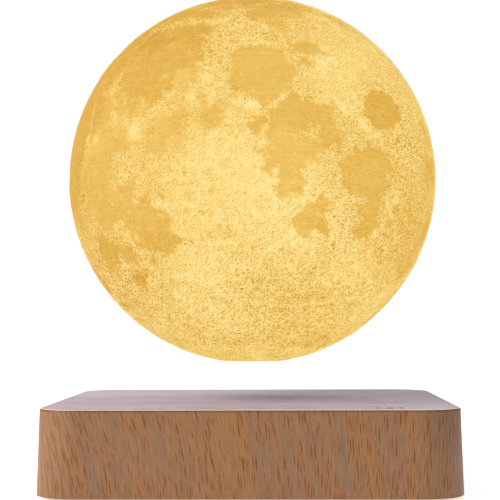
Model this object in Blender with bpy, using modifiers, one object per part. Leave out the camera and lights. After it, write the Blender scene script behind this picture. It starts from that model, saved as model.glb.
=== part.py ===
"""A levitating moon lamp: a glowing printed moon held in the air above a square wooden base.

Metres, +Z up. The origin is on the table under the middle of the base, and the front is at -Y.
The base holds a ring magnet, four steering coils and the transmitting coil. The moon holds the
magnet that floats, the receiving coil and the lights.
"""

import math

import bmesh
import bpy
from mathutils import Matrix, Vector

# Fits shared by the whole lamp
SEAT = 0.0003  # gap where one piece rests on another or sits in it
OVERRUN = 0.003  # how far a cutter passes the face that it opens
WELD = 0.00001  # profile points this close to the axis are on it

# Base housing, seen from outside
BASE_SIDE = 0.155
BASE_CORNER = 0.0164
BASE_DRAFT = 0.0009  # each side leans out this much towards the table
BASE_EDGE = 0.0006  # round-over of the top edge
SIDE_WALL = 0.0045
TOP_PLATE = 0.003
CORNER_POST = 0.0135  # side of the square post that fills each inner corner

# Bottom cover and what it stands on
FOOT_RADIUS = 0.007
FOOT_HEIGHT = 0.0017
FOOT_EDGE = 0.0005
FOOT_INSET = 0.0226  # middle of a foot in from the cover's edge
COVER_THICKNESS = 0.0024
COVER_LAP = 0.0016  # how far the cover reaches under the side walls
RIM_DROP = 0.0008  # how far the housing's rim reaches below the cover
STANDOFF_HEIGHT = 0.0063
STANDOFF_RADIUS = 0.0035

# Screws that hold the cover, and those that hold the magnet tray
SHANK_RADIUS = 0.0012
SHANK_CLEARANCE = 0.0003
PILOT_SPARE = 0.001  # a pilot hole goes this far past its screw
COVER_SCREW_LENGTH = 0.0096
COVER_HEAD_RADIUS = 0.003
COVER_HEAD_HEIGHT = 0.0009
COUNTERBORE_DEPTH = 0.0014
TRAY_SCREW_LENGTH = 0.0088
TRAY_HEAD_RADIUS = 0.0028
TRAY_HEAD_HEIGHT = 0.0015
HEAD_EDGE = 0.0003
SLOT_WIDTH = 0.0007
SLOT_DEPTH = 0.0005

# Control board and the magnet tray on it
BOARD_THICKNESS = 0.0016
BOARD_CLEARANCE = 0.0015  # board edge to the posts
BOARD_END_CLEARANCE = 0.001  # board edge to the front and back walls
TRAY_MARGIN = 0.0205  # tray to the inner walls: room for the socket and the tall parts
TRAY_FLOOR = 0.0016
TRAY_WALL = 0.0019
TRAY_WALL_HEIGHT = 0.0085
TRAY_RING_HEIGHT = 0.0055
TRAY_RING_WALL = 0.002
TRAY_HOLE_RADIUS = 0.004
EAR_REACH = 0.0111  # tray edge to the middle of a screw ear
EAR_RADIUS = 0.0055

# Magnet and coils in the tray. The coils fill the magnet's bore, whose share sets the field.
RING_MAGNET_HEIGHT = 0.010
RING_MAGNET_INNER_CLEARANCE = 0.0004
RING_MAGNET_OUTER_CLEARANCE = 0.0006
RING_BORE_SHARE = 0.66  # of the magnet's radius
STEERING_COIL_HEIGHT = 0.009
STEERING_COIL_GAP = 0.001  # from a coil's side to the plane midway to its neighbour
STEERING_COIL_MARGIN = 0.0026  # coil to the tray's inner ring
CORE_RADIUS = 0.003

# Field sensors on their small board
HALL_BOARD_SIDE = 0.022
HALL_BOARD_THICKNESS = 0.001
HALL_SENSOR_LENGTH = 0.004
HALL_SENSOR_WIDTH = 0.003
HALL_SENSOR_HEIGHT = 0.0016
HALL_SENSOR_SPREAD = 0.006

# Transmitting coil under the top plate
FERRITE_THICKNESS = 0.001
FERRITE_OVERHANG = 0.0085  # how far the ferrite reaches in over the ring magnet's bore
FERRITE_INSET = 0.004  # in from the ring magnet's edge
TRANSMIT_COIL_HEIGHT = 0.0033
TRANSMIT_COIL_INNER_INSET = 0.0005
TRANSMIT_COIL_OUTER_INSET = 0.001
LEAD_RADIUS = 0.0006
LEAD_SPACING = 0.006
LEAD_CLEARANCE = 0.0021  # lead's middle to the tray
LEAD_BEND = 0.0026

# Touch switch under the top plate
TOUCH_RADIUS = 0.006
TOUCH_THICKNESS = 0.0005
TOUCH_CLEARANCE = 0.0015  # pad's edge to the front wall and to the corner's post

# Power socket at the back
JACK_WIDTH = 0.009
JACK_DEPTH = 0.0137
JACK_HEIGHT = 0.011
JACK_AXIS_HEIGHT = 0.0065  # socket's axis above the jack's underside
JACK_BORE_RADIUS = 0.0032
JACK_BORE_DEPTH = 0.009
JACK_PIN_RADIUS = 0.00105
JACK_PIN_LENGTH = 0.0082
PLUG_HOLE_RADIUS = 0.00525

# Parts soldered to the control board
CAPACITOR_RADIUS = 0.005
CAPACITOR_HEIGHT = 0.013
CAPACITOR_INSET = 0.033  # middle of the capacitor in from the board's right edge
DRIVER_SIDE = 0.008
DRIVER_INSET = 0.020  # middle of the outer driver in from the board's left edge
DRIVER_SPACING = 0.013
CONTROLLER_SIDE = 0.010
CHIP_HEIGHT = 0.0016
PART_INSET = 0.011  # middle of the soldered parts in from the inner walls

# The moon and its place
MOON_RADIUS = 0.075
MOON_WALL = 0.0018
MOON_FLAT = 0.001  # the underside is cut this far up
LEVITATION_GAP = 0.0154  # base top to the moon's flat underside
SEA_DEPTH = 0.00035
CRATER_DEPTH = 0.0005
CRATER_RIM = 0.0002

# Cap that closes the moon, and what it holds
FLOAT_MAGNET_RADIUS = 0.019
FLOAT_MAGNET_HEIGHT = 0.008
MAGNET_SIDE_CLEARANCE = 0.0004
BACK_PLATE_THICKNESS = 0.0012
CAP_SKIN = 0.00145
RECEIVE_COIL_CLEARANCE = 0.0006
RECEIVE_COIL_WIDTH = 0.0072
RECEIVE_COIL_HEIGHT = 0.0028
COLLAR_CLEARANCE = 0.0004
COLLAR_WALL = 0.0016
COLLAR_HEIGHT = 0.0083
CAP_RIM_WIDTH = 0.0045
CAP_RIM_THICKNESS = 0.0017
LEDGE_THICKNESS = 0.002
CAP_SCREW_HEAD_RADIUS = 0.0012
CAP_SCREW_HEAD_HEIGHT = 0.0009
CAP_SCREW_SHANK_RADIUS = 0.0006
CAP_SCREW_LENGTH = 0.0026
CAP_SCREW_SEAT = 0.001  # plastic left under a screw's head

# Light board
RECEIVER_BOARD_THICKNESS = 0.0012
LED_SIDE = 0.005
LED_HEIGHT = 0.0016
LED_CIRCLE = 0.012
DIFFUSER_RADIUS = 0.022
DIFFUSER_HEIGHT = 0.013
DIFFUSER_WALL = 0.0012
RECEIVER_CAPACITOR_RADIUS = 0.0025
RECEIVER_CAPACITOR_HEIGHT = 0.006
RECEIVER_CHIP_SIDE = 0.004
RECEIVER_PART_GAP = 0.001

# Heights of the base's stack, from the table up
COVER_LOW = FOOT_HEIGHT + SEAT
COVER_HIGH = COVER_LOW + COVER_THICKNESS
RIM_LOW = COVER_LOW - RIM_DROP
STANDOFF_HIGH = COVER_HIGH + STANDOFF_HEIGHT
BOARD_LOW = STANDOFF_HIGH + SEAT
BOARD_HIGH = BOARD_LOW + BOARD_THICKNESS
TRAY_LOW = BOARD_HIGH + SEAT
TRAY_FLOOR_HIGH = TRAY_LOW + TRAY_FLOOR
MAGNET_LOW = TRAY_FLOOR_HIGH + SEAT
RING_MAGNET_HIGH = MAGNET_LOW + RING_MAGNET_HEIGHT
COIL_HIGH = MAGNET_LOW + STEERING_COIL_HEIGHT
FERRITE_LOW = RING_MAGNET_HIGH + SEAT
FERRITE_HIGH = FERRITE_LOW + FERRITE_THICKNESS
TRANSMIT_LOW = FERRITE_HIGH + SEAT
TRANSMIT_HIGH = TRANSMIT_LOW + TRANSMIT_COIL_HEIGHT
CEILING = TRANSMIT_HIGH + SEAT
BASE_TOP = CEILING + TOP_PLATE

# Breadths in the base
BASE_HALF = BASE_SIDE / 2
INNER_HALF = BASE_HALF - SIDE_WALL
POST_FACE = INNER_HALF - CORNER_POST
POST_MIDDLE = INNER_HALF - CORNER_POST / 2
BOARD_HALF = POST_FACE - BOARD_CLEARANCE
COVER_HALF = INNER_HALF + COVER_LAP
COVER_CORNER = BASE_CORNER - (BASE_HALF - COVER_HALF)
FOOT_PLACE = COVER_HALF - FOOT_INSET
TRAY_RADIUS = INNER_HALF - TRAY_MARGIN
EAR_PLACE = (TRAY_RADIUS + EAR_REACH) / math.sqrt(2)
RING_MAGNET_OUTER = TRAY_RADIUS - TRAY_WALL - RING_MAGNET_OUTER_CLEARANCE
RING_MAGNET_INNER = RING_MAGNET_OUTER * RING_BORE_SHARE
TRAY_RING_OUTER = RING_MAGNET_INNER - RING_MAGNET_INNER_CLEARANCE
TRAY_RING_INNER = TRAY_RING_OUTER - TRAY_RING_WALL
COIL_REACH = TRAY_RING_INNER - STEERING_COIL_MARGIN
STEERING_COIL_RADIUS = (COIL_REACH - STEERING_COIL_GAP * math.sqrt(2)) / (1 + math.sqrt(2))
COIL_CIRCLE = COIL_REACH - STEERING_COIL_RADIUS
FERRITE_INNER = RING_MAGNET_INNER - FERRITE_OVERHANG
FERRITE_OUTER = RING_MAGNET_OUTER - FERRITE_INSET
TRANSMIT_INNER = FERRITE_INNER + TRANSMIT_COIL_INNER_INSET
TRANSMIT_OUTER = FERRITE_OUTER - TRANSMIT_COIL_OUTER_INSET
JACK_AXIS_Z = BOARD_HIGH + SEAT + JACK_AXIS_HEIGHT
JACK_FACE_Y = INNER_HALF - SEAT
TOUCH_X = POST_FACE - TOUCH_CLEARANCE - TOUCH_RADIUS
TOUCH_Y = TOUCH_CLEARANCE + TOUCH_RADIUS - INNER_HALF

# Breadths in the moon, outwards from its axis
POCKET_RADIUS = FLOAT_MAGNET_RADIUS + MAGNET_SIDE_CLEARANCE
RECEIVE_COIL_INNER = POCKET_RADIUS + RECEIVE_COIL_CLEARANCE
RECEIVE_COIL_OUTER = RECEIVE_COIL_INNER + RECEIVE_COIL_WIDTH
COLLAR_INNER = RECEIVE_COIL_OUTER + COLLAR_CLEARANCE
COLLAR_OUTER = COLLAR_INNER + COLLAR_WALL
LEDGE_INNER = COLLAR_OUTER + SEAT
CAP_RADIUS = COLLAR_OUTER + CAP_RIM_WIDTH
CAP_SCREW_CIRCLE = COLLAR_OUTER + CAP_RIM_WIDTH / 2
MOUTH_RADIUS = CAP_RADIUS + SEAT
HOLLOW_RADIUS = MOON_RADIUS - MOON_WALL


def ball_low(radius):
    """Height of the moon's underside at this distance from its axis, from the moon's middle."""
    return -math.sqrt(MOON_RADIUS**2 - radius**2)


# Heights in the moon, from its middle
FLAT_Z = MOON_FLAT - MOON_RADIUS
FLAT_RADIUS = math.sqrt(MOON_RADIUS**2 - FLAT_Z**2)
POCKET_FLOOR = ball_low(POCKET_RADIUS) + CAP_SKIN
COIL_FLOOR = ball_low(COLLAR_INNER) + CAP_SKIN
CAP_RIM_HIGH = ball_low(CAP_RADIUS) + CAP_RIM_THICKNESS
COLLAR_HIGH = CAP_RIM_HIGH + COLLAR_HEIGHT
LEDGE_LOW = CAP_RIM_HIGH + SEAT
LEDGE_HIGH = LEDGE_LOW + LEDGE_THICKNESS
CAP_SCREW_STOP = CAP_RIM_HIGH - CAP_SCREW_SEAT
FLOAT_MAGNET_LOW = POCKET_FLOOR + SEAT
FLOAT_MAGNET_HIGH = FLOAT_MAGNET_LOW + FLOAT_MAGNET_HEIGHT
BACK_PLATE_LOW = FLOAT_MAGNET_HIGH + SEAT
RECEIVER_LOW = COLLAR_HIGH + SEAT
RECEIVER_HIGH = RECEIVER_LOW + RECEIVER_BOARD_THICKNESS
LIGHT_LOW = RECEIVER_HIGH + SEAT
MOON_MIDDLE = BASE_TOP + LEVITATION_GAP - FLAT_Z

# Steps round a turned piece
WIDE_STEPS = 40
MIDDLE_STEPS = 28
SMALL_STEPS = 20
SCREW_STEPS = 12
CORNER_STEPS = 8
ARC_STEPS = 12
SHARP_ANGLE = math.radians(35)  # edges steeper than this aren't smoothed

# The moon's map: latitude and longitude in degrees, and the radius as a share of the moon's
SEA_SHARES = (
    (32.8, -15.6, 0.33),
    (28.0, 17.5, 0.195),
    (8.5, 31.4, 0.235),
    (17.0, 59.1, 0.15),
    (-7.8, 51.3, 0.20),
    (-15.2, 35.5, 0.10),
    (-24.4, -38.6, 0.12),
    (-21.3, -16.6, 0.20),
    (25.0, -55.0, 0.26),
    (2.0, -50.0, 0.26),
    (7.5, -31.0, 0.15),
    (13.3, 3.6, 0.07),
    (13.3, 86.1, 0.10),
    (-19.4, -92.8, 0.09),
    (27.3, 147.9, 0.08),
    (-33.7, 163.5, 0.08),
    (-38.9, 93.0, 0.17),
)
CRATER_SHARES = (
    (-43.3, -11.4, 0.06),
    (9.6, -20.1, 0.06),
    (-8.9, 61.1, 0.07),
    (-5.5, -68.3, 0.07),
    (51.6, -9.4, 0.06),
    (-58.4, -14.4, 0.08),
    (-20.4, 129.1, 0.08),
    (-36.1, -151.8, 0.14),
    (4.5, -128.6, 0.12),
    (58.0, -147.0, 0.12),
    (-57.0, 132.0, 0.11),
    (5.0, -157.0, 0.13),
)
FRONT_LONGITUDE = 15  # degrees east of the middle of the near side
SHORE_SHARE = 0.5  # a shore slopes over this share of its sea's radius
RIM_WIDTH_SHARE = 0.35

# Colour, roughness and metallic value of each material
FINISHES = {
    "wood": ("#B28763", 0.5, 0.0),
    "printed_moon": ("#FBDD8C", 0.6, 0.0),
    "white_plastic": ("#E8E4DA", 0.45, 0.0),
    "black_plastic": ("#1E1E20", 0.5, 0.0),
    "rubber": ("#26262A", 0.8, 0.0),
    "steel": ("#A9ABAF", 0.35, 1.0),
    "nickel": ("#C9C7C0", 0.2, 1.0),
    "copper": ("#B4683A", 0.35, 1.0),
    "magnet_black": ("#3A3A3D", 0.6, 0.3),
    "circuit_board": ("#1F5A38", 0.45, 0.0),
    "white_board": ("#EDEDE8", 0.4, 0.0),
    "led": ("#F4E7A8", 0.3, 0.0),
    "diffuser": ("#F3F1EA", 0.4, 0.0),
    "capacitor": ("#2B2D45", 0.35, 0.0),
}

for old in list(bpy.data.objects):
    bpy.data.objects.remove(old)
lamp = bpy.data.collections.new("levitating_moon_lamp")
cutters = bpy.data.collections.new("cutters")
bpy.context.scene.collection.children.link(lamp)
bpy.context.scene.collection.children.link(cutters)


def linear(code):
    """The linear colour of an sRGB hex code."""
    shades = [int(code[at : at + 2], 16) / 255 for at in (1, 3, 5)]
    return [s / 12.92 if s <= 0.04045 else ((s + 0.055) / 1.055) ** 2.4 for s in shades] + [1.0]


def new_material(name):
    """A new Principled material with the named finish: each piece has its own."""
    code, roughness, metallic = FINISHES[name]
    made = bpy.data.materials.new(name)
    made.use_nodes = True
    shader = made.node_tree.nodes["Principled BSDF"]
    shader.inputs["Base Color"].default_value = linear(code)
    shader.inputs["Roughness"].default_value = roughness
    shader.inputs["Metallic"].default_value = metallic
    return made


def add_piece(name, mesh, finish, place=(0, 0, 0), turn=(0, 0, 0), parent=None):
    """Puts a mesh or curve in the lamp as one named piece."""
    piece = bpy.data.objects.new(name, mesh)
    lamp.objects.link(piece)
    piece.location = place
    piece.rotation_euler = turn
    piece.parent = parent
    if not mesh.materials:
        mesh.materials.append(new_material(finish))
    return piece


def add_cutter(name, mesh, place=(0, 0, 0), turn=(0, 0, 0), parent=None):
    """Puts a mesh among the cutters, which aren't part of the lamp."""
    cutter = bpy.data.objects.new(name, mesh)
    cutters.objects.link(cutter)
    cutter.location = place
    cutter.rotation_euler = turn
    cutter.parent = parent
    cutter.hide_render = True
    cutter.display_type = "WIRE"
    return cutter


def combine(piece, other, operation="DIFFERENCE"):
    """Cuts the other shape from a piece, or joins it on."""
    step = piece.modifiers.new(other.name, "BOOLEAN")
    step.operation = operation
    step.object = other
    step.solver = "EXACT"


def mesh_of(shape, name):
    """Turns a bmesh into a mesh, smooth but for its real edges."""
    mesh = bpy.data.meshes.new(name)
    shape.to_mesh(mesh)
    shape.free()
    mesh.shade_smooth()
    mesh.set_sharp_from_angle(angle=SHARP_ANGLE)
    return mesh


def round_edges(shape, edges, radius, steps):
    """Rounds these edges of a bmesh over."""
    bmesh.ops.bevel(shape, geom=edges, offset=radius, segments=steps, profile=0.5, affect="EDGES")


def plate_mesh(name, half_x, half_y, low, high, corner=0.0, draft=0.0, edge=0.0):
    """A plate with rounded upright edges. Draft spreads its bottom, and edge rounds its top over."""
    shape = bmesh.new()
    bmesh.ops.create_cube(shape, size=1.0)
    for point in shape.verts:
        outward = draft if point.co.z < 0 else 0.0
        point.co.x = math.copysign(half_x + outward, point.co.x)
        point.co.y = math.copysign(half_y + outward, point.co.y)
        point.co.z = low if point.co.z < 0 else high
    if corner:
        upright = [e for e in shape.edges if e.verts[0].co.z != e.verts[1].co.z]
        round_edges(shape, upright, corner, CORNER_STEPS)
    if edge:
        top = max(point.co.z for point in shape.verts)
        rim = [e for e in shape.edges if all(point.co.z == top for point in e.verts)]
        round_edges(shape, rim, edge, 2)
    return mesh_of(shape, name)


def rod_mesh(name, radius, low, high, steps=SMALL_STEPS):
    """A solid cylinder along Z."""
    shape = bmesh.new()
    bmesh.ops.create_cone(
        shape,
        cap_ends=True,
        segments=steps,
        radius1=radius,
        radius2=radius,
        depth=high - low,
        matrix=Matrix.Translation((0, 0, (high + low) / 2)),
    )
    return mesh_of(shape, name)


def turned_mesh(name, profile, steps=WIDE_STEPS, ring=False):
    """Turns a profile about Z. It runs down the outer side, and a ring's profile is a closed loop."""
    outline = bpy.data.meshes.new(name)
    links = [(at, at + 1) for at in range(len(profile) - 1)]
    if ring:
        links.append((len(profile) - 1, 0))
    outline.from_pydata([(radius, 0, height) for radius, height in profile], links, [])
    guide = bpy.data.objects.new(name, outline)
    cutters.objects.link(guide)
    turning = guide.modifiers.new("turning", "SCREW")
    turning.axis = "Z"
    turning.steps = steps
    turning.render_steps = steps
    turning.use_merge_vertices = True
    turning.merge_threshold = WELD
    return finished_mesh(guide)


def finished_mesh(guide):
    """The mesh of a guide with its modifiers applied, smooth but for its real edges. The guide goes."""
    seen = guide.evaluated_get(bpy.context.evaluated_depsgraph_get())
    mesh = bpy.data.meshes.new_from_object(seen)
    bpy.data.objects.remove(guide)
    mesh.shade_smooth()
    mesh.set_sharp_from_angle(angle=SHARP_ANGLE)
    return mesh


def add_wire(name, route, radius, finish="copper"):
    """A round wire along straight stretches."""
    path = bpy.data.curves.new(name, "CURVE")
    path.dimensions = "3D"
    path.bevel_depth = radius
    path.bevel_resolution = 2
    path.use_fill_caps = True
    line = path.splines.new("POLY")
    line.points.add(len(route) - 1)
    for point, place in zip(line.points, route):
        point.co = (*place, 1.0)
    return add_piece(name, path, finish)


def ring_profile(inner, outer, low, high):
    """A square-cut ring: down the outer side and up the bore."""
    return [(outer, high), (outer, low), (inner, low), (inner, high)]


def arc(radius, first, last, steps=ARC_STEPS):
    """Points of an arc about the origin, from one angle above the level to another."""
    angles = [first + (last - first) * at / steps for at in range(steps + 1)]
    return [(radius * math.cos(angle), radius * math.sin(angle)) for angle in angles]


def corners(reach):
    """The four places at this distance from both middle planes."""
    return [(x * reach, y * reach) for x in (-1, 1) for y in (-1, 1)]


def screw_mesh(name, head_radius, head_height, shank_radius, length):
    """A screw that points up, with the seat of its head at zero and a cross cut in the head."""
    profile = [
        (0, length),
        (shank_radius / 2, length),
        (shank_radius, length - shank_radius),
        (shank_radius, 0),
        (head_radius, 0),
        (head_radius, HEAD_EDGE - head_height),
        (head_radius - HEAD_EDGE, -head_height),
        (0, -head_height),
    ]
    blank = add_cutter(name, turned_mesh(name, profile, SCREW_STEPS))
    reach = head_radius * 2 / 3
    for half_x, half_y in ((reach, SLOT_WIDTH / 2), (SLOT_WIDTH / 2, reach)):
        slot = plate_mesh(name + "_slot", half_x, half_y, -head_height - OVERRUN, SLOT_DEPTH - head_height)
        combine(blank, add_cutter(name + "_slot", slot))
    return finished_mesh(blank)


def make_base_housing():
    """The wooden box, open below, with a post in each corner for the cover's screws."""
    outside = plate_mesh(
        "base_housing", BASE_HALF, BASE_HALF, RIM_LOW, BASE_TOP, BASE_CORNER, BASE_DRAFT, BASE_EDGE
    )
    housing = add_piece("base_housing", outside, "wood")
    for half_x, half_y in ((INNER_HALF, POST_FACE), (POST_FACE, INNER_HALF)):
        hollow = plate_mesh("housing_hollow", half_x, half_y, RIM_LOW - OVERRUN, CEILING)
        combine(housing, add_cutter("housing_hollow", hollow))
    recess = plate_mesh(
        "cover_recess",
        COVER_HALF + SEAT,
        COVER_HALF + SEAT,
        RIM_LOW - OVERRUN,
        COVER_HIGH + SEAT,
        COVER_CORNER + SEAT,
    )
    combine(housing, add_cutter("cover_recess", recess))
    pilot = rod_mesh(
        "cover_pilot", SHANK_RADIUS + SHANK_CLEARANCE, RIM_LOW, COVER_LOW + COVER_SCREW_LENGTH + OVERRUN
    )
    for x, y in corners(POST_MIDDLE):
        combine(housing, add_cutter("cover_pilot", pilot, (x, y, 0)))
    hole = rod_mesh("plug_hole", PLUG_HOLE_RADIUS, 0, SIDE_WALL + OVERRUN * 2, MIDDLE_STEPS)
    place = (0, BASE_HALF + OVERRUN, JACK_AXIS_Z)
    combine(housing, add_cutter("plug_hole", hole, place, (math.pi / 2, 0, 0)))


def make_bottom_cover():
    """The plastic cover with its stand-offs for the board, its screws and its rubber feet."""
    cover = add_piece(
        "bottom_cover",
        plate_mesh("bottom_cover", COVER_HALF, COVER_HALF, COVER_LOW, COVER_HIGH, COVER_CORNER),
        "black_plastic",
    )
    standoff = rod_mesh("standoff", STANDOFF_RADIUS, COVER_LOW + COVER_THICKNESS / 2, STANDOFF_HIGH)
    tip = TRAY_FLOOR_HIGH + SEAT - TRAY_SCREW_LENGTH
    pilot = rod_mesh("standoff_pilot", SHANK_RADIUS + SHANK_CLEARANCE, tip - PILOT_SPARE, BOARD_HIGH)
    for x, y in corners(EAR_PLACE):
        combine(cover, add_cutter("standoff", standoff, (x, y, 0)), "UNION")
        combine(cover, add_cutter("standoff_pilot", pilot, (x, y, 0)))
    seat = COVER_LOW + COUNTERBORE_DEPTH
    hole = rod_mesh("screw_hole", SHANK_RADIUS + SHANK_CLEARANCE, COVER_LOW, COVER_HIGH + OVERRUN)
    counterbore = rod_mesh("counterbore", COVER_HEAD_RADIUS + SHANK_CLEARANCE, COVER_LOW - OVERRUN, seat)
    screw = screw_mesh(
        "cover_screw", COVER_HEAD_RADIUS, COVER_HEAD_HEIGHT, SHANK_RADIUS, COVER_SCREW_LENGTH
    )
    for number, (x, y) in enumerate(corners(POST_MIDDLE), 1):
        combine(cover, add_cutter("screw_hole", hole, (x, y, 0)))
        combine(cover, add_cutter("counterbore", counterbore, (x, y, 0)))
        add_piece(f"cover_screw_{number}", screw, "steel", (x, y, seat - SEAT))
    foot = [
        (0, FOOT_HEIGHT),
        (FOOT_RADIUS, FOOT_HEIGHT),
        (FOOT_RADIUS, FOOT_EDGE),
        (FOOT_RADIUS - FOOT_EDGE, 0),
        (0, 0),
    ]
    for number, (x, y) in enumerate(corners(FOOT_PLACE), 1):
        add_piece(f"foot_{number}", turned_mesh("foot", foot, SMALL_STEPS), "rubber", (x, y, 0))


def make_control_board():
    """The board on the cover's stand-offs, and the parts soldered to it."""
    half_y = INNER_HALF - BOARD_END_CLEARANCE
    sheet = plate_mesh("control_board", BOARD_HALF, half_y, BOARD_LOW, BOARD_HIGH)
    board = add_piece("control_board", sheet, "circuit_board")
    hole = rod_mesh("board_hole", SHANK_RADIUS + SHANK_CLEARANCE, BOARD_LOW - OVERRUN, BOARD_HIGH + OVERRUN)
    for x, y in corners(EAR_PLACE):
        combine(board, add_cutter("board_hole", hole, (x, y, 0)))
    low = BOARD_HIGH + SEAT
    row = INNER_HALF - PART_INSET
    can = rod_mesh("supply_capacitor", CAPACITOR_RADIUS, 0, CAPACITOR_HEIGHT)
    add_piece("supply_capacitor", can, "capacitor", (BOARD_HALF - CAPACITOR_INSET, row, low))
    driver = plate_mesh("driver_chip", DRIVER_SIDE / 2, DRIVER_SIDE / 2, 0, CHIP_HEIGHT)
    for number in (1, 2):
        x = DRIVER_INSET - BOARD_HALF + DRIVER_SPACING * (number - 1)
        add_piece(f"driver_chip_{number}", driver, "black_plastic", (x, row, low))
    controller = plate_mesh("microcontroller", CONTROLLER_SIDE / 2, CONTROLLER_SIDE / 2, 0, CHIP_HEIGHT)
    add_piece("microcontroller", controller, "black_plastic", (0, -row, low))


def make_dc_jack():
    """The power socket on the board's back edge, behind the hole in the back wall."""
    low = BOARD_HIGH + SEAT
    block = plate_mesh("dc_jack", JACK_WIDTH / 2, JACK_DEPTH / 2, low, low + JACK_HEIGHT)
    jack = add_piece("dc_jack", block, "black_plastic", (0, JACK_FACE_Y - JACK_DEPTH / 2, 0))
    along = (-math.pi / 2, 0, 0)
    bore = rod_mesh("jack_bore", JACK_BORE_RADIUS, -JACK_BORE_DEPTH, OVERRUN)
    combine(jack, add_cutter("jack_bore", bore, (0, JACK_FACE_Y, JACK_AXIS_Z), along))
    pin = rod_mesh("dc_jack_pin", JACK_PIN_RADIUS, 0, JACK_PIN_LENGTH, SCREW_STEPS)
    root = JACK_FACE_Y - JACK_BORE_DEPTH + SEAT
    add_piece("dc_jack_pin", pin, "nickel", (0, root, JACK_AXIS_Z), along)


def make_magnet_tray():
    """The moulded tray that holds the ring magnet and the coils, screwed down by four ears."""
    profile = [
        (TRAY_HOLE_RADIUS, TRAY_FLOOR_HIGH),
        (TRAY_RING_INNER, TRAY_FLOOR_HIGH),
        (TRAY_RING_INNER, TRAY_FLOOR_HIGH + TRAY_RING_HEIGHT),
        (TRAY_RING_OUTER, TRAY_FLOOR_HIGH + TRAY_RING_HEIGHT),
        (TRAY_RING_OUTER, TRAY_FLOOR_HIGH),
        (TRAY_RADIUS - TRAY_WALL, TRAY_FLOOR_HIGH),
        (TRAY_RADIUS - TRAY_WALL, TRAY_FLOOR_HIGH + TRAY_WALL_HEIGHT),
        (TRAY_RADIUS, TRAY_FLOOR_HIGH + TRAY_WALL_HEIGHT),
        (TRAY_RADIUS, TRAY_LOW),
        (TRAY_HOLE_RADIUS, TRAY_LOW),
    ]
    tray = add_piece("magnet_tray", turned_mesh("magnet_tray", profile, ring=True), "black_plastic")
    root = TRAY_RADIUS - TRAY_WALL / 2
    length = EAR_REACH + EAR_RADIUS + TRAY_WALL / 2
    ear = plate_mesh("tray_ear", length / 2, EAR_RADIUS, TRAY_LOW, TRAY_FLOOR_HIGH)
    hole = rod_mesh("ear_hole", SHANK_RADIUS + SHANK_CLEARANCE, TRAY_LOW - OVERRUN, TRAY_FLOOR_HIGH + OVERRUN)
    middle = (root + length / 2) / math.sqrt(2)
    for x, y in corners(1):
        turn = (0, 0, math.atan2(y, x))
        combine(tray, add_cutter("tray_ear", ear, (x * middle, y * middle, 0), turn), "UNION")
        combine(tray, add_cutter("ear_hole", hole, (x * EAR_PLACE, y * EAR_PLACE, 0)))
    screw = screw_mesh("tray_screw", TRAY_HEAD_RADIUS, TRAY_HEAD_HEIGHT, SHANK_RADIUS, TRAY_SCREW_LENGTH)
    for number, (x, y) in enumerate(corners(EAR_PLACE), 1):
        place = (x, y, TRAY_FLOOR_HIGH + SEAT)
        add_piece(f"tray_screw_{number}", screw, "steel", place, (math.pi, 0, 0))


def make_levitation_drive():
    """The ring magnet, the four steering coils on their cores, and the field sensors above them."""
    ring = ring_profile(RING_MAGNET_INNER, RING_MAGNET_OUTER, MAGNET_LOW, RING_MAGNET_HIGH)
    add_piece("ring_magnet", turned_mesh("ring_magnet", ring, ring=True), "magnet_black")
    winding = ring_profile(CORE_RADIUS + SEAT, STEERING_COIL_RADIUS, MAGNET_LOW, COIL_HIGH)
    coil = turned_mesh("steering_coil", winding, SMALL_STEPS, ring=True)
    core = rod_mesh("coil_core", CORE_RADIUS, MAGNET_LOW, COIL_HIGH, SCREW_STEPS)
    for number in range(4):
        angle = math.pi / 2 * number
        place = (COIL_CIRCLE * math.cos(angle), COIL_CIRCLE * math.sin(angle), 0)
        add_piece(f"steering_coil_{number + 1}", coil, "copper", place)
        add_piece(f"coil_core_{number + 1}", core, "steel", place)
    low = COIL_HIGH + SEAT
    high = low + HALL_BOARD_THICKNESS
    sheet = plate_mesh("hall_board", HALL_BOARD_SIDE / 2, HALL_BOARD_SIDE / 2, low, high)
    add_piece("hall_board", sheet, "circuit_board")
    sensor = plate_mesh("hall_sensor", HALL_SENSOR_LENGTH / 2, HALL_SENSOR_WIDTH / 2, 0, HALL_SENSOR_HEIGHT)
    places = ((0, 0), (HALL_SENSOR_SPREAD, 0), (0, HALL_SENSOR_SPREAD))
    for number, (x, y) in enumerate(places, 1):
        add_piece(f"hall_sensor_{number}", sensor, "black_plastic", (x, y, high + SEAT))


def make_transmitter():
    """The flat coil that sends power to the moon, on its ferrite ring, with its two leads."""
    ferrite = ring_profile(FERRITE_INNER, FERRITE_OUTER, FERRITE_LOW, FERRITE_HIGH)
    add_piece("coil_ferrite", turned_mesh("coil_ferrite", ferrite, ring=True), "magnet_black")
    coil = ring_profile(TRANSMIT_INNER, TRANSMIT_OUTER, TRANSMIT_LOW, TRANSMIT_HIGH)
    add_piece("transmit_coil", turned_mesh("transmit_coil", coil, ring=True), "copper")
    level = (TRANSMIT_LOW + TRANSMIT_HIGH) / 2
    start = -TRANSMIT_OUTER - SEAT
    fall = -TRAY_RADIUS - LEAD_CLEARANCE
    for number, side in ((1, -1), (2, 1)):
        y = side * LEAD_SPACING / 2
        route = (
            (start, y, level),
            (fall + LEAD_BEND, y, level),
            (fall, y, level - LEAD_BEND),
            (fall, y, BOARD_HIGH + SEAT),
        )
        add_wire(f"transmit_lead_{number}", route, LEAD_RADIUS)


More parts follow.
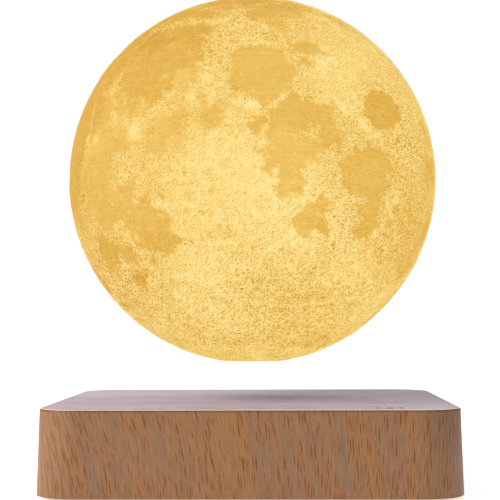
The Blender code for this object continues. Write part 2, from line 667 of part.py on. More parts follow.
def make_touch_switch():
    """The touch pad glued under the top plate, and the lead from it to the board."""
    high = CEILING - SEAT
    low = high - TOUCH_THICKNESS
    pad = rod_mesh("touch_pad", TOUCH_RADIUS, low, high)
    add_piece("touch_pad", pad, "copper", (TOUCH_X, TOUCH_Y, 0))
    route = ((TOUCH_X, TOUCH_Y, low - SEAT), (TOUCH_X, TOUCH_Y, BOARD_HIGH + SEAT))
    add_wire("touch_lead", route, LEAD_RADIUS)


def place_on_moon(latitude, longitude):
    """The direction of a place on the moon's map, with the front longitude facing -Y."""
    up = math.radians(latitude)
    round_axis = math.radians(longitude - FRONT_LONGITUDE) - math.pi / 2
    return Vector((math.cos(up) * math.cos(round_axis), math.cos(up) * math.sin(round_axis), math.sin(up)))


def ramp(value):
    """0 below zero, 1 above one, and a smooth rise between them."""
    held = min(max(value, 0.0), 1.0)
    return held * held * (3 - 2 * held)


def relief(way):
    """How far the printed surface stands above the plain ball in this direction."""
    sunk = 0.0
    for latitude, longitude, radius_share in SEA_SHARES:
        away = way.angle(place_on_moon(latitude, longitude)) / radius_share
        sunk = max(sunk, ramp((1 - away) / SHORE_SHARE + 1))
    height = -SEA_DEPTH * sunk
    for latitude, longitude, radius_share in CRATER_SHARES:
        away = way.angle(place_on_moon(latitude, longitude)) / radius_share
        height -= CRATER_DEPTH * ramp(1 - away)
        height += CRATER_RIM * ramp(1 - abs(away - 1) / RIM_WIDTH_SHARE)
    return height


def make_moon_shell(moon):
    """The printed ball: sunken seas and large craters outside, and a ledge for the cap inside."""
    shape = bmesh.new()
    bmesh.ops.create_icosphere(shape, subdivisions=5, radius=MOON_RADIUS)
    for point in shape.verts:
        above_mouth = (point.co.z - LEDGE_LOW) / (MOON_RADIUS - MOUTH_RADIUS)
        point.co += point.co.normalized() * relief(point.co) * ramp(above_mouth)
    shell = add_piece("moon_shell", mesh_of(shape, "moon_shell"), "printed_moon", parent=moon)
    ledge_angle = math.asin(LEDGE_HIGH / HOLLOW_RADIUS)
    profile = [(0, HOLLOW_RADIUS)]
    profile += arc(HOLLOW_RADIUS, math.pi / 2, ledge_angle)[1:]
    profile += [
        (LEDGE_INNER, LEDGE_HIGH),
        (LEDGE_INNER, LEDGE_LOW),
        (MOUTH_RADIUS, LEDGE_LOW),
        (MOUTH_RADIUS, -MOON_RADIUS - OVERRUN),
        (0, -MOON_RADIUS - OVERRUN),
    ]
    combine(shell, add_cutter("moon_hollow", turned_mesh("moon_hollow", profile), parent=moon))
    hole_radius = CAP_SCREW_SHANK_RADIUS + SHANK_CLEARANCE
    hole = rod_mesh("ledge_hole", hole_radius, LEDGE_LOW - OVERRUN, LEDGE_HIGH + OVERRUN, SCREW_STEPS)
    for x, y in cap_screw_places():
        combine(shell, add_cutter("ledge_hole", hole, (x, y, 0), parent=moon))


def cap_screw_places():
    """Where the three screws of the moon's cap stand."""
    angles = [math.pi / 2 + math.tau * number / 3 for number in range(3)]
    return [(CAP_SCREW_CIRCLE * math.cos(a), CAP_SCREW_CIRCLE * math.sin(a)) for a in angles]


def make_moon_cap(moon):
    """The moulded cup that closes the ball: magnet pocket, coil floor, collar and screwed rim."""
    last = math.asin(FLAT_Z / MOON_RADIUS)
    first = math.asin(ball_low(CAP_RADIUS) / MOON_RADIUS)
    profile = [
        (0, POCKET_FLOOR),
        (POCKET_RADIUS, POCKET_FLOOR),
        (POCKET_RADIUS, COIL_FLOOR),
        (COLLAR_INNER, COIL_FLOOR),
        (COLLAR_INNER, COLLAR_HIGH),
        (COLLAR_OUTER, COLLAR_HIGH),
        (COLLAR_OUTER, CAP_RIM_HIGH),
        (CAP_RADIUS, CAP_RIM_HIGH),
    ]
    profile += arc(MOON_RADIUS, first, last, ARC_STEPS // 2)
    profile.append((0, FLAT_Z))
    cap = add_piece("moon_cap", turned_mesh("moon_cap", profile), "white_plastic", parent=moon)
    hole_radius = CAP_SCREW_SHANK_RADIUS + SHANK_CLEARANCE
    hole = rod_mesh("cap_hole", hole_radius, CAP_SCREW_STOP - OVERRUN, CAP_RIM_HIGH + OVERRUN, SCREW_STEPS)
    bore_radius = CAP_SCREW_HEAD_RADIUS + SHANK_CLEARANCE
    bore = rod_mesh("cap_counterbore", bore_radius, -MOON_RADIUS, CAP_SCREW_STOP, SCREW_STEPS)
    screw = screw_mesh(
        "cap_screw", CAP_SCREW_HEAD_RADIUS, CAP_SCREW_HEAD_HEIGHT, CAP_SCREW_SHANK_RADIUS, CAP_SCREW_LENGTH
    )
    for number, (x, y) in enumerate(cap_screw_places(), 1):
        combine(cap, add_cutter("cap_hole", hole, (x, y, 0), parent=moon))
        combine(cap, add_cutter("cap_counterbore", bore, (x, y, 0), parent=moon))
        add_piece(f"cap_screw_{number}", screw, "steel", (x, y, CAP_SCREW_STOP - SEAT), parent=moon)
    coil = ring_profile(
        RECEIVE_COIL_INNER, RECEIVE_COIL_OUTER, COIL_FLOOR + SEAT, COIL_FLOOR + SEAT + RECEIVE_COIL_HEIGHT
    )
    winding = turned_mesh("receive_coil", coil, MIDDLE_STEPS, ring=True)
    add_piece("receive_coil", winding, "copper", parent=moon)


def make_floating_magnet(magnet):
    """The magnet that floats in the base's field, and the steel plate that backs it."""
    disc = rod_mesh("levitation_magnet", FLOAT_MAGNET_RADIUS, FLOAT_MAGNET_LOW, FLOAT_MAGNET_HIGH, WIDE_STEPS)
    add_piece("levitation_magnet", disc, "nickel", parent=magnet)
    high = BACK_PLATE_LOW + BACK_PLATE_THICKNESS
    plate = rod_mesh("magnet_back_plate", FLOAT_MAGNET_RADIUS, BACK_PLATE_LOW, high, WIDE_STEPS)
    add_piece("magnet_back_plate", plate, "steel", parent=magnet)


def make_lights(moon):
    """The light board on the cap's collar, its six lights, its small parts and its diffuser."""
    sheet = rod_mesh("receiver_board", COLLAR_OUTER, RECEIVER_LOW, RECEIVER_HIGH, WIDE_STEPS)
    add_piece("receiver_board", sheet, "white_board", parent=moon)
    led = plate_mesh("led", LED_SIDE / 2, LED_SIDE / 2, 0, LED_HEIGHT)
    for number in range(6):
        angle = math.tau * number / 6
        place = (LED_CIRCLE * math.cos(angle), LED_CIRCLE * math.sin(angle), LIGHT_LOW)
        add_piece(f"led_{number + 1}", led, "led", place, (0, 0, angle), parent=moon)
    flatten = DIFFUSER_HEIGHT / DIFFUSER_RADIUS
    inner_radius = DIFFUSER_RADIUS - DIFFUSER_WALL
    inner_flatten = (DIFFUSER_HEIGHT - DIFFUSER_WALL) / inner_radius
    outer = [(r, z * flatten) for r, z in arc(DIFFUSER_RADIUS, math.pi / 2, 0, ARC_STEPS // 2)]
    inner = [(r, z * inner_flatten) for r, z in arc(inner_radius, 0, math.pi / 2, ARC_STEPS // 2)]
    dome = turned_mesh("led_diffuser", outer + inner, MIDDLE_STEPS)
    add_piece("led_diffuser", dome, "diffuser", (0, 0, LIGHT_LOW), parent=moon)
    can = rod_mesh("receiver_capacitor", RECEIVER_CAPACITOR_RADIUS, 0, RECEIVER_CAPACITOR_HEIGHT, SCREW_STEPS)
    reach = DIFFUSER_RADIUS + RECEIVER_PART_GAP + RECEIVER_CAPACITOR_RADIUS
    add_piece("receiver_capacitor", can, "capacitor", (0, reach, LIGHT_LOW), parent=moon)
    chip = plate_mesh("receiver_chip", RECEIVER_CHIP_SIDE / 2, RECEIVER_CHIP_SIDE / 2, 0, CHIP_HEIGHT)
    reach = DIFFUSER_RADIUS + RECEIVER_PART_GAP + RECEIVER_CHIP_SIDE / 2
    add_piece("receiver_chip", chip, "black_plastic", (0, -reach, LIGHT_LOW), parent=moon)


def add_axis(name):
    """An empty on the lift and spin axis, at the moon's middle, that carries what moves there."""
    empty = bpy.data.objects.new(name, None)
    lamp.objects.link(empty)
    empty.location = (0, 0, MOON_MIDDLE)
    return empty


make_base_housing()
make_bottom_cover()
make_control_board()
make_dc_jack()
make_magnet_tray()
make_levitation_drive()
make_transmitter()
make_touch_switch()
make_floating_magnet(add_axis("lift_axis"))
moon_axis = add_axis("spin_axis")
make_moon_shell(moon_axis)
make_moon_cap(moon_axis)
make_lights(moon_axis)
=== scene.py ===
"""The looks of a levitating moon lamp: a glowing printed moon above a square wooden base.

Metres, +Z up, the base's middle at the origin and the front at -Y. Each section is one piece or
group of pieces, in the order in which the lamp is put together.
"""

import math

import bmesh
import bpy
import numpy as np
from mathutils import Euler, Matrix, Vector, noise


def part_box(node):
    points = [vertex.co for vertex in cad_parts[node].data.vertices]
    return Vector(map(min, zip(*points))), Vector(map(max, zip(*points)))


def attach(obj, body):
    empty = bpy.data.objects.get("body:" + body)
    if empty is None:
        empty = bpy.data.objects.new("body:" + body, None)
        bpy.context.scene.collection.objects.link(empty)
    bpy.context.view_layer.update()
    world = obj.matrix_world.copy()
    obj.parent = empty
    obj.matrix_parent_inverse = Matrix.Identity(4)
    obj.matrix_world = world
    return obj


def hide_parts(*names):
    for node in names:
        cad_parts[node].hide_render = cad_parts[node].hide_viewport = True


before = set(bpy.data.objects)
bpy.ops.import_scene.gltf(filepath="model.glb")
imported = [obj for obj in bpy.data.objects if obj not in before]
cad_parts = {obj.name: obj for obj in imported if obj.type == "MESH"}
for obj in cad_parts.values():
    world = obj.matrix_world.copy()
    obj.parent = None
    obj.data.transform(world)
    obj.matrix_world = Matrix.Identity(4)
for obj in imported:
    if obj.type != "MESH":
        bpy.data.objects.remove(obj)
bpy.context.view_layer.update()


# Camera: a long lens a little above the base's top, turned up slightly towards the moon.
# The place and angles are those that fit the outlines of the ball and the base.
CAMERA_PLACE = (0.01207, -0.60929, 0.06557)
CAMERA_PITCH = 0.0464
CAMERA_YAW = 0.0215
CAMERA_ROLL = -0.0028
CAMERA_LENS = 106.65  # mm, on a 36 mm frame

camera = bpy.data.objects.new("camera", bpy.data.cameras.new("camera"))
bpy.context.scene.collection.objects.link(camera)
camera.data.lens = CAMERA_LENS
camera.data.clip_start = 0.01
upright = Euler((math.pi / 2 + CAMERA_PITCH, 0, CAMERA_YAW)).to_matrix().to_4x4()
camera.matrix_world = Matrix.Translation(CAMERA_PLACE) @ upright @ Matrix.Rotation(CAMERA_ROLL, 4, "Z")
bpy.context.scene.camera = camera
bpy.context.scene.view_settings.view_transform = "Standard"


# Studio: a matt white sheet, lit from below as well, in a white room. One large soft light high on
# the left leaves the right corner the darkest, and a weak cool one stands behind on the right.
FLOOR_SIDE = 8.0
ROOM_WHITE = 1.05
ROOM_LIGHT = 0.5
KEY_POWER = 30.5
FILL_POWER = 5.5
WHITE = (1.0, 1.0, 1.0, 1.0)


def linear(code):
    """The linear colour of an sRGB hex code."""
    shades = [int(code[at : at + 2], 16) / 255 for at in (1, 3, 5)]
    return [s / 12.92 if s <= 0.04045 else ((s + 0.055) / 1.055) ** 2.4 for s in shades] + [1.0]


def link(material, value, socket):
    """Sets a socket to a value, or links it to a socket or to the first output in use of a node."""
    if isinstance(value, bpy.types.Node):
        value = next(output for output in value.outputs if output.enabled)
    if isinstance(value, bpy.types.NodeSocket):
        material.node_tree.links.new(value, socket)
    else:
        socket.default_value = value


def join(material, **sockets):
    """Sets or links sockets of a material's Principled shader. Underscores stand for spaces."""
    shader = material.node_tree.nodes["Principled BSDF"]
    for name, value in sockets.items():
        link(material, value, shader.inputs[name.replace("_", " ")])


def new_material(name, code, roughness, **sockets):
    """A Principled material of one colour."""
    made = bpy.data.materials.new(name)
    made.use_nodes = True
    join(made, Base_Color=linear(code), Roughness=roughness, **sockets)
    return made


def put(material, kind, *values, stops=(), **settings):
    """Adds a node; a kind in capitals is a Math node. Values go to its open sockets in order.

    A setting with the name of a socket is a value for it.
    """
    if kind.isupper():
        kind, settings["operation"] = "Math", kind
    node = material.node_tree.nodes.new("ShaderNode" + kind)
    for name, value in settings.items():
        if name in node.inputs:
            link(material, value, node.inputs[name])
        else:
            setattr(node, name, value)
    for value, socket in zip(values, [socket for socket in node.inputs if socket.enabled]):
        link(material, value, socket)
    ramp = node.color_ramp.elements if stops else ()
    for number, (place, colour) in enumerate(stops):
        stop = ramp[number] if number < 2 else ramp.new(place)
        stop.position = place
        stop.color = linear(colour) if isinstance(colour, str) else (colour, colour, colour, 1.0)
    return node


bpy.ops.object.select_all(action="DESELECT")
bpy.ops.mesh.primitive_plane_add(size=FLOOR_SIDE)
floor = bpy.context.object
floor.name = "studio_floor"
paper = new_material(
    "matt_paper", "#F6F6F6", 0.9, Specular_IOR_Level=0.0, Emission_Strength=0.56, Emission_Color=WHITE
)
floor.data.materials.append(paper)

room = bpy.data.worlds.new("white_room")
room.use_nodes = True
walls = room.node_tree.nodes["Background"].inputs
level = put(room, "MapRange", put(room, "LightPath"), 0.0, 1.0, ROOM_LIGHT, ROOM_WHITE)
link(room, level, walls["Strength"])
link(room, WHITE, walls["Color"])
bpy.context.scene.world = room


def add_light(name, power, colour, size, place, aim):
    """A square soft light that points at a spot."""
    light = bpy.data.objects.new(name, bpy.data.lights.new(name, "AREA"))
    bpy.context.scene.collection.objects.link(light)
    light.data.energy = power
    light.data.color = linear(colour)[:3]
    light.data.size = size
    light.location = place
    light.rotation_euler = (Vector(aim) - Vector(place)).to_track_quat("-Z", "Y").to_euler()


add_light("key_light", KEY_POWER, "#FFFCF8", 0.9, (-1.35, -0.66, 0.98), (0, 0, 0.03))
add_light("fill_light", FILL_POWER, "#D2E0FF", 0.6, (0.35, 1.0, 1.45), (0, 0, 0.03))


# Wooden housing: a beech box with rounded corners, sides veneered with upright grain and a top of
# its own with grain from left to right, its colours paled by painted sheen. The veneers meet in a pale
# sanded edge, partly a painted highlight, over a dark glue line.
BASE_HALF = 0.0775
BASE_CORNER = 0.0164
BASE_TOP = 0.033
RIM_LOW = 0.0012
RIM_EDGE = 0.0003
BASE_DRAFT = 0.0009
TOP_EDGE = 0.0006
CEILING = 0.0300
INNER_HALF = 0.073
POST_FACE = 0.0595
POST_MIDDLE = 0.06625
COVER_LOW = 0.0020
COVER_HIGH = 0.0044
COVER_HALF = 0.0746
COVER_CORNER = 0.0135
SEAT = 0.0003
PILOT_RADIUS = 0.0015
PILOT_HIGH = 0.0146
PLUG_HOLE_RADIUS = 0.00525
JACK_AXIS_Z = 0.0194
STRAIGHT = 2 * (BASE_HALF - BASE_CORNER)
QUARTER = STRAIGHT + BASE_CORNER * math.pi / 2
VENEER = 0.0012
CORNER_REACH = 0.0952
RING_PITCH = 0.0034


def unselected(piece):
    """The mesh of an open piece, with nothing in it selected."""
    shape = bmesh.from_edit_mesh(piece.data)
    for part in [*shape.faces, *shape.edges, *shape.verts]:
        part.select = False
    return shape


def round_off(piece, width, steps, test=lambda a, b: True):
    """Rounds the edges of an open piece whose two ends pass a test."""
    shape = unselected(piece)
    for edge in shape.edges:
        if test(edge.verts[0].co, edge.verts[1].co):
            edge.select = True
    bmesh.update_edit_mesh(piece.data)
    bpy.ops.mesh.bevel(offset=width, segments=steps, profile=0.5, affect="EDGES")


def open_new(name):
    """Names the primitive that was just added, puts its place in its mesh and opens it for shaping."""
    piece = bpy.context.object
    piece.name = piece.data.name = name
    bpy.ops.object.transform_apply()
    bpy.ops.object.mode_set(mode="EDIT")
    return piece


def add_block(name, half_x, half_y, low, high, corner=0.0, steps=12):
    """A block with rounded upright edges, left open for shaping."""
    bpy.ops.object.select_all(action="DESELECT")
    size = (2 * half_x, 2 * half_y, high - low)
    bpy.ops.mesh.primitive_cube_add(size=1, location=(0, 0, (low + high) / 2), scale=size)
    block = open_new(name)
    if corner:
        round_off(block, corner, steps, lambda a, b: abs(a.z - b.z) > 1e-5)
    return block


def add_rod(name, radius, low, high, place=(0, 0), steps=32):
    """An upright cylinder, left open for shaping."""
    bpy.ops.object.select_all(action="DESELECT")
    middle = (place[0], place[1], (low + high) / 2)
    bpy.ops.mesh.primitive_cylinder_add(vertices=steps, radius=radius, depth=high - low, location=middle)
    return open_new(name)


def close():
    """Ends the shaping of the open piece."""
    bpy.ops.object.mode_set(mode="OBJECT")


def cut_away(piece, cutter, operation="DIFFERENCE"):
    """Cuts a shape, which may still be open, from a piece, or joins it on. The shape goes."""
    close()
    step = piece.modifiers.new("cut", "BOOLEAN")
    step.operation = operation
    step.solver = "EXACT"
    step.object = cutter
    bpy.context.view_layer.objects.active = piece
    bpy.ops.object.modifier_apply(modifier="cut")
    bpy.data.objects.remove(cutter)


def smooth_over(piece, degrees=32):
    """Shades a piece smooth but for its real edges."""
    bpy.ops.object.select_all(action="DESELECT")
    piece.select_set(True)
    bpy.context.view_layer.objects.active = piece
    bpy.ops.object.shade_smooth_by_angle(angle=math.radians(degrees))


def coat(piece, *finishes, degrees=32):
    """Gives a piece these finishes alone and shades it."""
    piece.data.materials.clear()
    for finish in finishes:
        piece.data.materials.append(finish)
    smooth_over(piece, degrees)


def corners_at(reach):
    """The four places at this distance from both middle planes."""
    return [(x * reach, y * reach) for x in (-1, 1) for y in (-1, 1)]


housing = add_block("wooden_housing", BASE_HALF, BASE_HALF, RIM_LOW, BASE_TOP, BASE_CORNER, 20)
round_off(housing, TOP_EDGE, 4, lambda a, b: min(a.z, b.z) > BASE_TOP - 1e-5)
round_off(housing, RIM_EDGE, 2, lambda a, b: max(a.z, b.z) < RIM_LOW + 1e-5)
close()
for point in housing.data.vertices:
    fall = (BASE_TOP - point.co.z) / (BASE_TOP - RIM_LOW)
    for axis in (0, 1):
        across = point.co[axis] / (BASE_HALF - BASE_CORNER)
        point.co[axis] += BASE_DRAFT * fall * max(-1.0, min(1.0, across))
BELOW = RIM_LOW - 0.003
for half_x, half_y in ((INNER_HALF, POST_FACE), (POST_FACE, INNER_HALF)):
    cut_away(housing, add_block("hollow", half_x, half_y, BELOW, CEILING))
recess_half = COVER_HALF + SEAT
cut_away(housing, add_block("recess", recess_half, recess_half, BELOW, COVER_HIGH + SEAT, COVER_CORNER + SEAT, 16))
for x, y in corners_at(POST_MIDDLE):
    cut_away(housing, add_rod("pilot", PILOT_RADIUS, BELOW, PILOT_HIGH, (x, y), 24))
bpy.ops.object.select_all(action="DESELECT")
bpy.ops.mesh.primitive_cylinder_add(
    vertices=64,
    radius=PLUG_HOLE_RADIUS,
    depth=0.012,
    location=(0, BASE_HALF, JACK_AXIS_Z),
    rotation=(math.pi / 2, 0, 0),
)
cut_away(housing, open_new("plug_hole"))


def way_round(x, y):
    """How far a place lies round the box's sides from the middle of the front, going right."""
    turn = round(math.atan2(x, -y) / (math.pi / 2))
    for _ in range(turn % 4):
        x, y = y, -x
    reach = STRAIGHT / 2
    if abs(x) > reach:
        across = math.atan2(abs(x) - reach, max(-y - reach, 1e-6))
        x = math.copysign(reach + BASE_CORNER * across, x)
    return x + turn * QUARTER


def lay_grain(piece):
    """Unrolls the sides of a box into its UV map, in metres: distance round the box, and height."""
    layer = piece.data.uv_layers.active
    layer.name = "grain"
    for face in piece.data.polygons:
        middle = way_round(face.center.x, face.center.y)
        for loop in face.loop_indices:
            place = piece.data.vertices[piece.data.loops[loop].vertex_index].co
            if abs(face.normal.z) > 0.9:
                layer.data[loop].uv = (place.y, place.x)
                continue
            around = way_round(place.x, place.y)
            around -= 4 * QUARTER * round((around - middle) / (4 * QUARTER))
            layer.data[loop].uv = (around, place.z)


lay_grain(housing)


BLEND = {"data_type": "RGBA"}
TINT = {"data_type": "RGBA", "blend_type": "MULTIPLY"}


def grow_beech(wood, around, along, bump, light, dark, halo_code, fleck, contrast=1.0):
    """Beech, cut along the grain: soft bands, fine fibres and short dark flecks in a warm halo.

    Scales are in mm. Returns the colour and the fibres.
    """

    def grain(across_mm, along_mm, shift=0.0):
        sized = put(wood, "MULTIPLY", around, 1000 / across_mm)
        long = put(wood, "MULTIPLY_ADD", along, 1000 / along_mm, shift)
        return put(wood, "CombineXYZ", sized, long, shift)

    bands = put(wood, "TexNoise", grain(5, 70), 1.0, 3.0, 0.55)
    wide = put(wood, "TexNoise", grain(26, 160, 3.0), 1.0, 2.0)
    mixed = put(wood, "Mix", 0.35, bands, wide)
    colour = put(wood, "ValToRGB", mixed, stops=((0.36, dark), (0.62, light)))
    fibres = put(wood, "TexNoise", grain(0.55, 8, 5.0), 1.0, 3.0, 0.6)
    shade = put(wood, "MapRange", fibres, 0.3, 0.7, 1 - 0.16 * contrast, 1 + 0.14 * contrast)
    colour = put(wood, "Mix", 1.0, colour, shade, **TINT)
    most = stain = 0.0
    for across_mm, along_mm, reach, shift in ((1.05, 12, 0.30, 7.0), (0.85, 10, 0.27, 13.0), (1.6, 18, 0.22, 21.0)):
        cells = put(wood, "TexVoronoi", grain(across_mm, along_mm, shift), 1.0, voronoi_dimensions="2D")
        own = put(wood, "SeparateColor", cells.outputs["Color"])
        limit = put(wood, "MULTIPLY_ADD", own, reach * 1.5, -reach * 0.5)
        limit = put(wood, "MAXIMUM", limit, 0.004)
        core = put(wood, "MULTIPLY", limit, 0.55)
        most = put(wood, "MAXIMUM", put(wood, "MapRange", cells, limit, core), most)
        far = put(wood, "MULTIPLY", limit, 3.0)
        stain = put(wood, "MAXIMUM", put(wood, "MapRange", cells, far, 0.0), stain)
    stain = put(wood, "MULTIPLY", stain, 0.6)
    colour = put(wood, "Mix", stain, colour, linear(halo_code), **BLEND)
    depth = put(wood, "MULTIPLY", most, 0.9)
    colour = put(wood, "Mix", depth, colour, linear(fleck), **BLEND)
    raised = put(wood, "Bump", Height=fibres, Strength=bump, Distance=0.0002)
    join(wood, Base_Color=colour, Normal=raised)
    return colour, fibres


# Beech veneer, upright, sanded and oiled: the grain leans most at the left front corner, and there
# the growth lines show as curves.
side_veneer = new_material("oiled_beech_veneer", "#A98058", 0.5, Specular_IOR_Level=0.35)
unrolled = put(side_veneer, "SeparateXYZ", put(side_veneer, "UVMap", uv_map="grain"))
round_box, height = unrolled.outputs["X"], unrolled.outputs["Y"]
turn = put(side_veneer, "MULTIPLY", round_box, math.pi / 2 / QUARTER)
lean = put(side_veneer, "SINE", turn)
lean = put(side_veneer, "MULTIPLY_ADD", lean, -0.27, 0.15)
fall = put(side_veneer, "SUBTRACT", BASE_TOP, height)
bow = put(side_veneer, "MULTIPLY_ADD", fall, -12.0, 1.25)
bow = put(side_veneer, "MULTIPLY", fall, bow)
slid = put(side_veneer, "MULTIPLY", lean, bow)
across = put(side_veneer, "SUBTRACT", round_box, slid)
colour, fibres = grow_beech(
    side_veneer, across, height, 0.12, "#8A6139", "#7A5D47", "#96591E", "#63360A", contrast=1.5
)
from_middle = put(side_veneer, "PINGPONG", round_box, QUARTER / 2)
near_corner = put(side_veneer, "MapRange", from_middle, 0.056, 0.066)
rings = put(side_veneer, "MULTIPLY", across, 2 * math.pi / RING_PITCH)
rings = put(side_veneer, "MULTIPLY_ADD", fibres, 2.5, rings)
rings = put(side_veneer, "SINE", rings)
rings = put(side_veneer, "MapRange", rings, 0.75, 1.0, 0.0, 0.85)
rings = put(side_veneer, "MULTIPLY", rings, near_corner)
leaning = put(side_veneer, "MapRange", lean, 0.0, 0.3, 0.45)
rings = put(side_veneer, "MULTIPLY", rings, leaning)
colour = put(side_veneer, "Mix", rings, colour, linear("#75481C"), **BLEND)
near_top = put(side_veneer, "MULTIPLY", height, 30.0)
glue = put(side_veneer, "ValToRGB", near_top, stops=((0.958, 1.0), (0.968, 0.68), (0.984, 0.68), (0.990, 0.8)))
colour = put(side_veneer, "Mix", 1.0, colour, glue, **TINT)
join(side_veneer, Base_Color=colour)

# The same veneer lying flat, with a thin satin lacquer that shines when seen at a low angle. Its
# colours are pale pinkish and lilac greys, a painted sheen that stands in for that shine.
top_veneer = new_material("satin_lacquered_beech_painted_sheen", "#A98A78", 0.42, Specular_IOR_Level=0.5)
flat = put(top_veneer, "SeparateXYZ", put(top_veneer, "UVMap", uv_map="grain"))
# Pinkish and lilac greys in place of beech browns: painted sheen on top of the lacquer's real gloss
grow_beech(top_veneer, flat.outputs["X"], flat.outputs["Y"], 0.1, "#D3BEC2", "#B09FA9", "#B59C98", "#8E7872")

# Where the edge is sanded round, the veneers are worn thin and pale. The pale colour also stands
# in for the highlight that the rounded edge catches, so it is partly a painted highlight.
sanded_and_highlit_edge = new_material("sanded_beech_edge_painted_highlight", "#E8CDB8", 0.55)
place = put(sanded_and_highlit_edge, "TexCoord").outputs["Object"]
edge_variation = put(sanded_and_highlit_edge, "TexNoise", place, 260.0, 3.0)
worn_and_highlit = put(sanded_and_highlit_edge, "ValToRGB", edge_variation, stops=((0.3, "#DCC0A6"), (0.7, "#F0DDCB")))
join(sanded_and_highlit_edge, Base_Color=worn_and_highlit)

# Inside, the box is raw milled board with cutter marks
raw_board = new_material("milled_beech_board", "#C9A67E", 0.75)
place = put(raw_board, "SeparateXYZ", put(raw_board, "TexCoord").outputs["Object"])
grow_beech(raw_board, place.outputs["Y"], place.outputs["X"], 0.3, "#CDAA82", "#B9936B", "#BA8C5C", "#94683F")

coat(housing, side_veneer, top_veneer, sanded_and_highlit_edge, raw_board)
for face in housing.data.polygons:
    edge = max(abs(face.center.x), abs(face.center.y))
    outwards = face.normal.x * face.center.x + face.normal.y * face.center.y > 0
    on_side = outwards and (
        edge > BASE_HALF - VENEER or math.hypot(face.center.x, face.center.y) > CORNER_REACH
    )
    if face.center.z > BASE_TOP - 1e-5:
        face.material_index = 1
    # The rounded top edge gets the pale finish: worn wood with a painted highlight
    elif face.center.z > BASE_TOP - TOP_EDGE and face.normal.z > 0.8:
        face.material_index = 2
    elif not on_side:
        face.material_index = 3
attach(housing, "base")
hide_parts("base_housing")


# Touch mark: two dots and a ring, drawn out front to back, printed on the lacquer in dark ink.
MARK_PLACE = (0.0512, -0.0675)
MARK_STRETCH = 2.2
MARK_THICKNESS = 0.00004


def merge(piece, parts):
    """Joins other closed meshes to a piece."""
    bpy.ops.object.select_all(action="DESELECT")
    for part in [piece, *parts]:
        part.select_set(True)
    bpy.context.view_layer.objects.active = piece
    bpy.ops.object.join()


mark = None
for offset, radius, hole in ((-0.0043, 0.0008, 0.0), (0.0, 0.0014, 0.0007), (0.0043, 0.0009, 0.0)):
    spot = (MARK_PLACE[0] + offset, 0)
    dot = add_rod("touch_mark", radius, BASE_TOP, BASE_TOP + MARK_THICKNESS, spot, 40)
    close()
    if hole:
        cut_away(dot, add_rod("mark_hole", hole, BASE_TOP - 0.001, BASE_TOP + 0.001, spot, 40))
    if mark:
        merge(mark, [dot])
    else:
        mark = dot
mark.data.transform(Matrix.Translation((0, MARK_PLACE[1], 0)) @ Matrix.Diagonal((1, MARK_STRETCH, 1, 1)))
ink = new_material("pad_printed_ink", "#3B3136", 0.4)
place = put(ink, "TexCoord").outputs["Object"]
speckle = put(ink, "TexNoise", place, 3000.0, 2.0)
inked = put(ink, "ValToRGB", speckle, stops=((0.35, "#241C20"), (0.65, "#40363A")))
join(ink, Base_Color=inked)
coat(mark, ink)
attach(mark, "base")


# Bottom cover: a flat moulding in black ABS with a fine grained face, let into the wooden box, with
# four sunk holes for its screws and four stand-offs for the board above it.
COVER_EDGE = 0.0004
STANDOFF_PLACE = 0.04497
STANDOFF_RADIUS = 0.0035
STANDOFF_HIGH = 0.0107
STANDOFF_PILOT_LOW = 0.0050
COUNTERBORE_RADIUS = 0.0033
COUNTERBORE_HIGH = 0.0034

cover = add_block("moulded_cover", COVER_HALF, COVER_HALF, COVER_LOW, COVER_HIGH, COVER_CORNER, 16)
round_off(cover, COVER_EDGE, 3, lambda a, b: max(a.z, b.z) < COVER_LOW + 1e-5)
close()
for x, y in corners_at(STANDOFF_PLACE):
    standoff = add_rod("standoff", STANDOFF_RADIUS, (COVER_LOW + COVER_HIGH) / 2, STANDOFF_HIGH, (x, y))
    cut_away(cover, standoff, "UNION")
    cut_away(cover, add_rod("pilot", PILOT_RADIUS, STANDOFF_PILOT_LOW, STANDOFF_HIGH + 0.001, (x, y), 24))
for x, y in corners_at(POST_MIDDLE):
    for radius, low, high in (
        (COUNTERBORE_RADIUS, COVER_LOW - 0.001, COUNTERBORE_HIGH),
        (PILOT_RADIUS, COVER_LOW, COVER_HIGH + 0.001),
    ):
        cut_away(cover, add_rod("hole", radius, low, high, (x, y), 40))


def grained(name, code, roughness, grain_mm, depth_mm, spread=0.12, **sockets):
    """A moulded or cast surface: fine even grain that breaks up the shine, and a faint cloudiness."""
    made = new_material(name, code, roughness, **sockets)
    place = put(made, "TexCoord").outputs["Object"]
    fine = put(made, "TexNoise", place, 1000 / grain_mm, 3.0, 0.6)
    cloud = put(made, "TexNoise", place, 70.0, 2.0)
    mixed = put(made, "Mix", 0.4, fine, cloud)
    light = put(made, "MapRange", mixed, 0.3, 0.7, 1 - spread, 1 + spread)
    colour = put(made, "Mix", 1.0, linear(code), light, **TINT)
    gloss = put(made, "MapRange", mixed, 0.3, 0.7, roughness - 0.06, roughness + 0.06)
    bump = put(made, "Bump", Height=fine, Strength=0.35, Distance=depth_mm / 1000)
    join(made, Base_Color=colour, Roughness=gloss, Normal=bump)
    return made


# ABS moulded against a spark-eroded tool: near black, an even fine grain and a soft low shine
black_abs = grained("grained_black_abs", "#1E1E20", 0.5, 0.35, 0.05)
coat(cover, black_abs)
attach(cover, "base")
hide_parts("bottom_cover")


# Feet: four discs of moulded rubber with rounded edges, glued to the cover.
FOOT_PLACE = 0.052
FOOT_RADIUS = 0.007
FOOT_HEIGHT = 0.0017
FOOT_EDGE = 0.0005

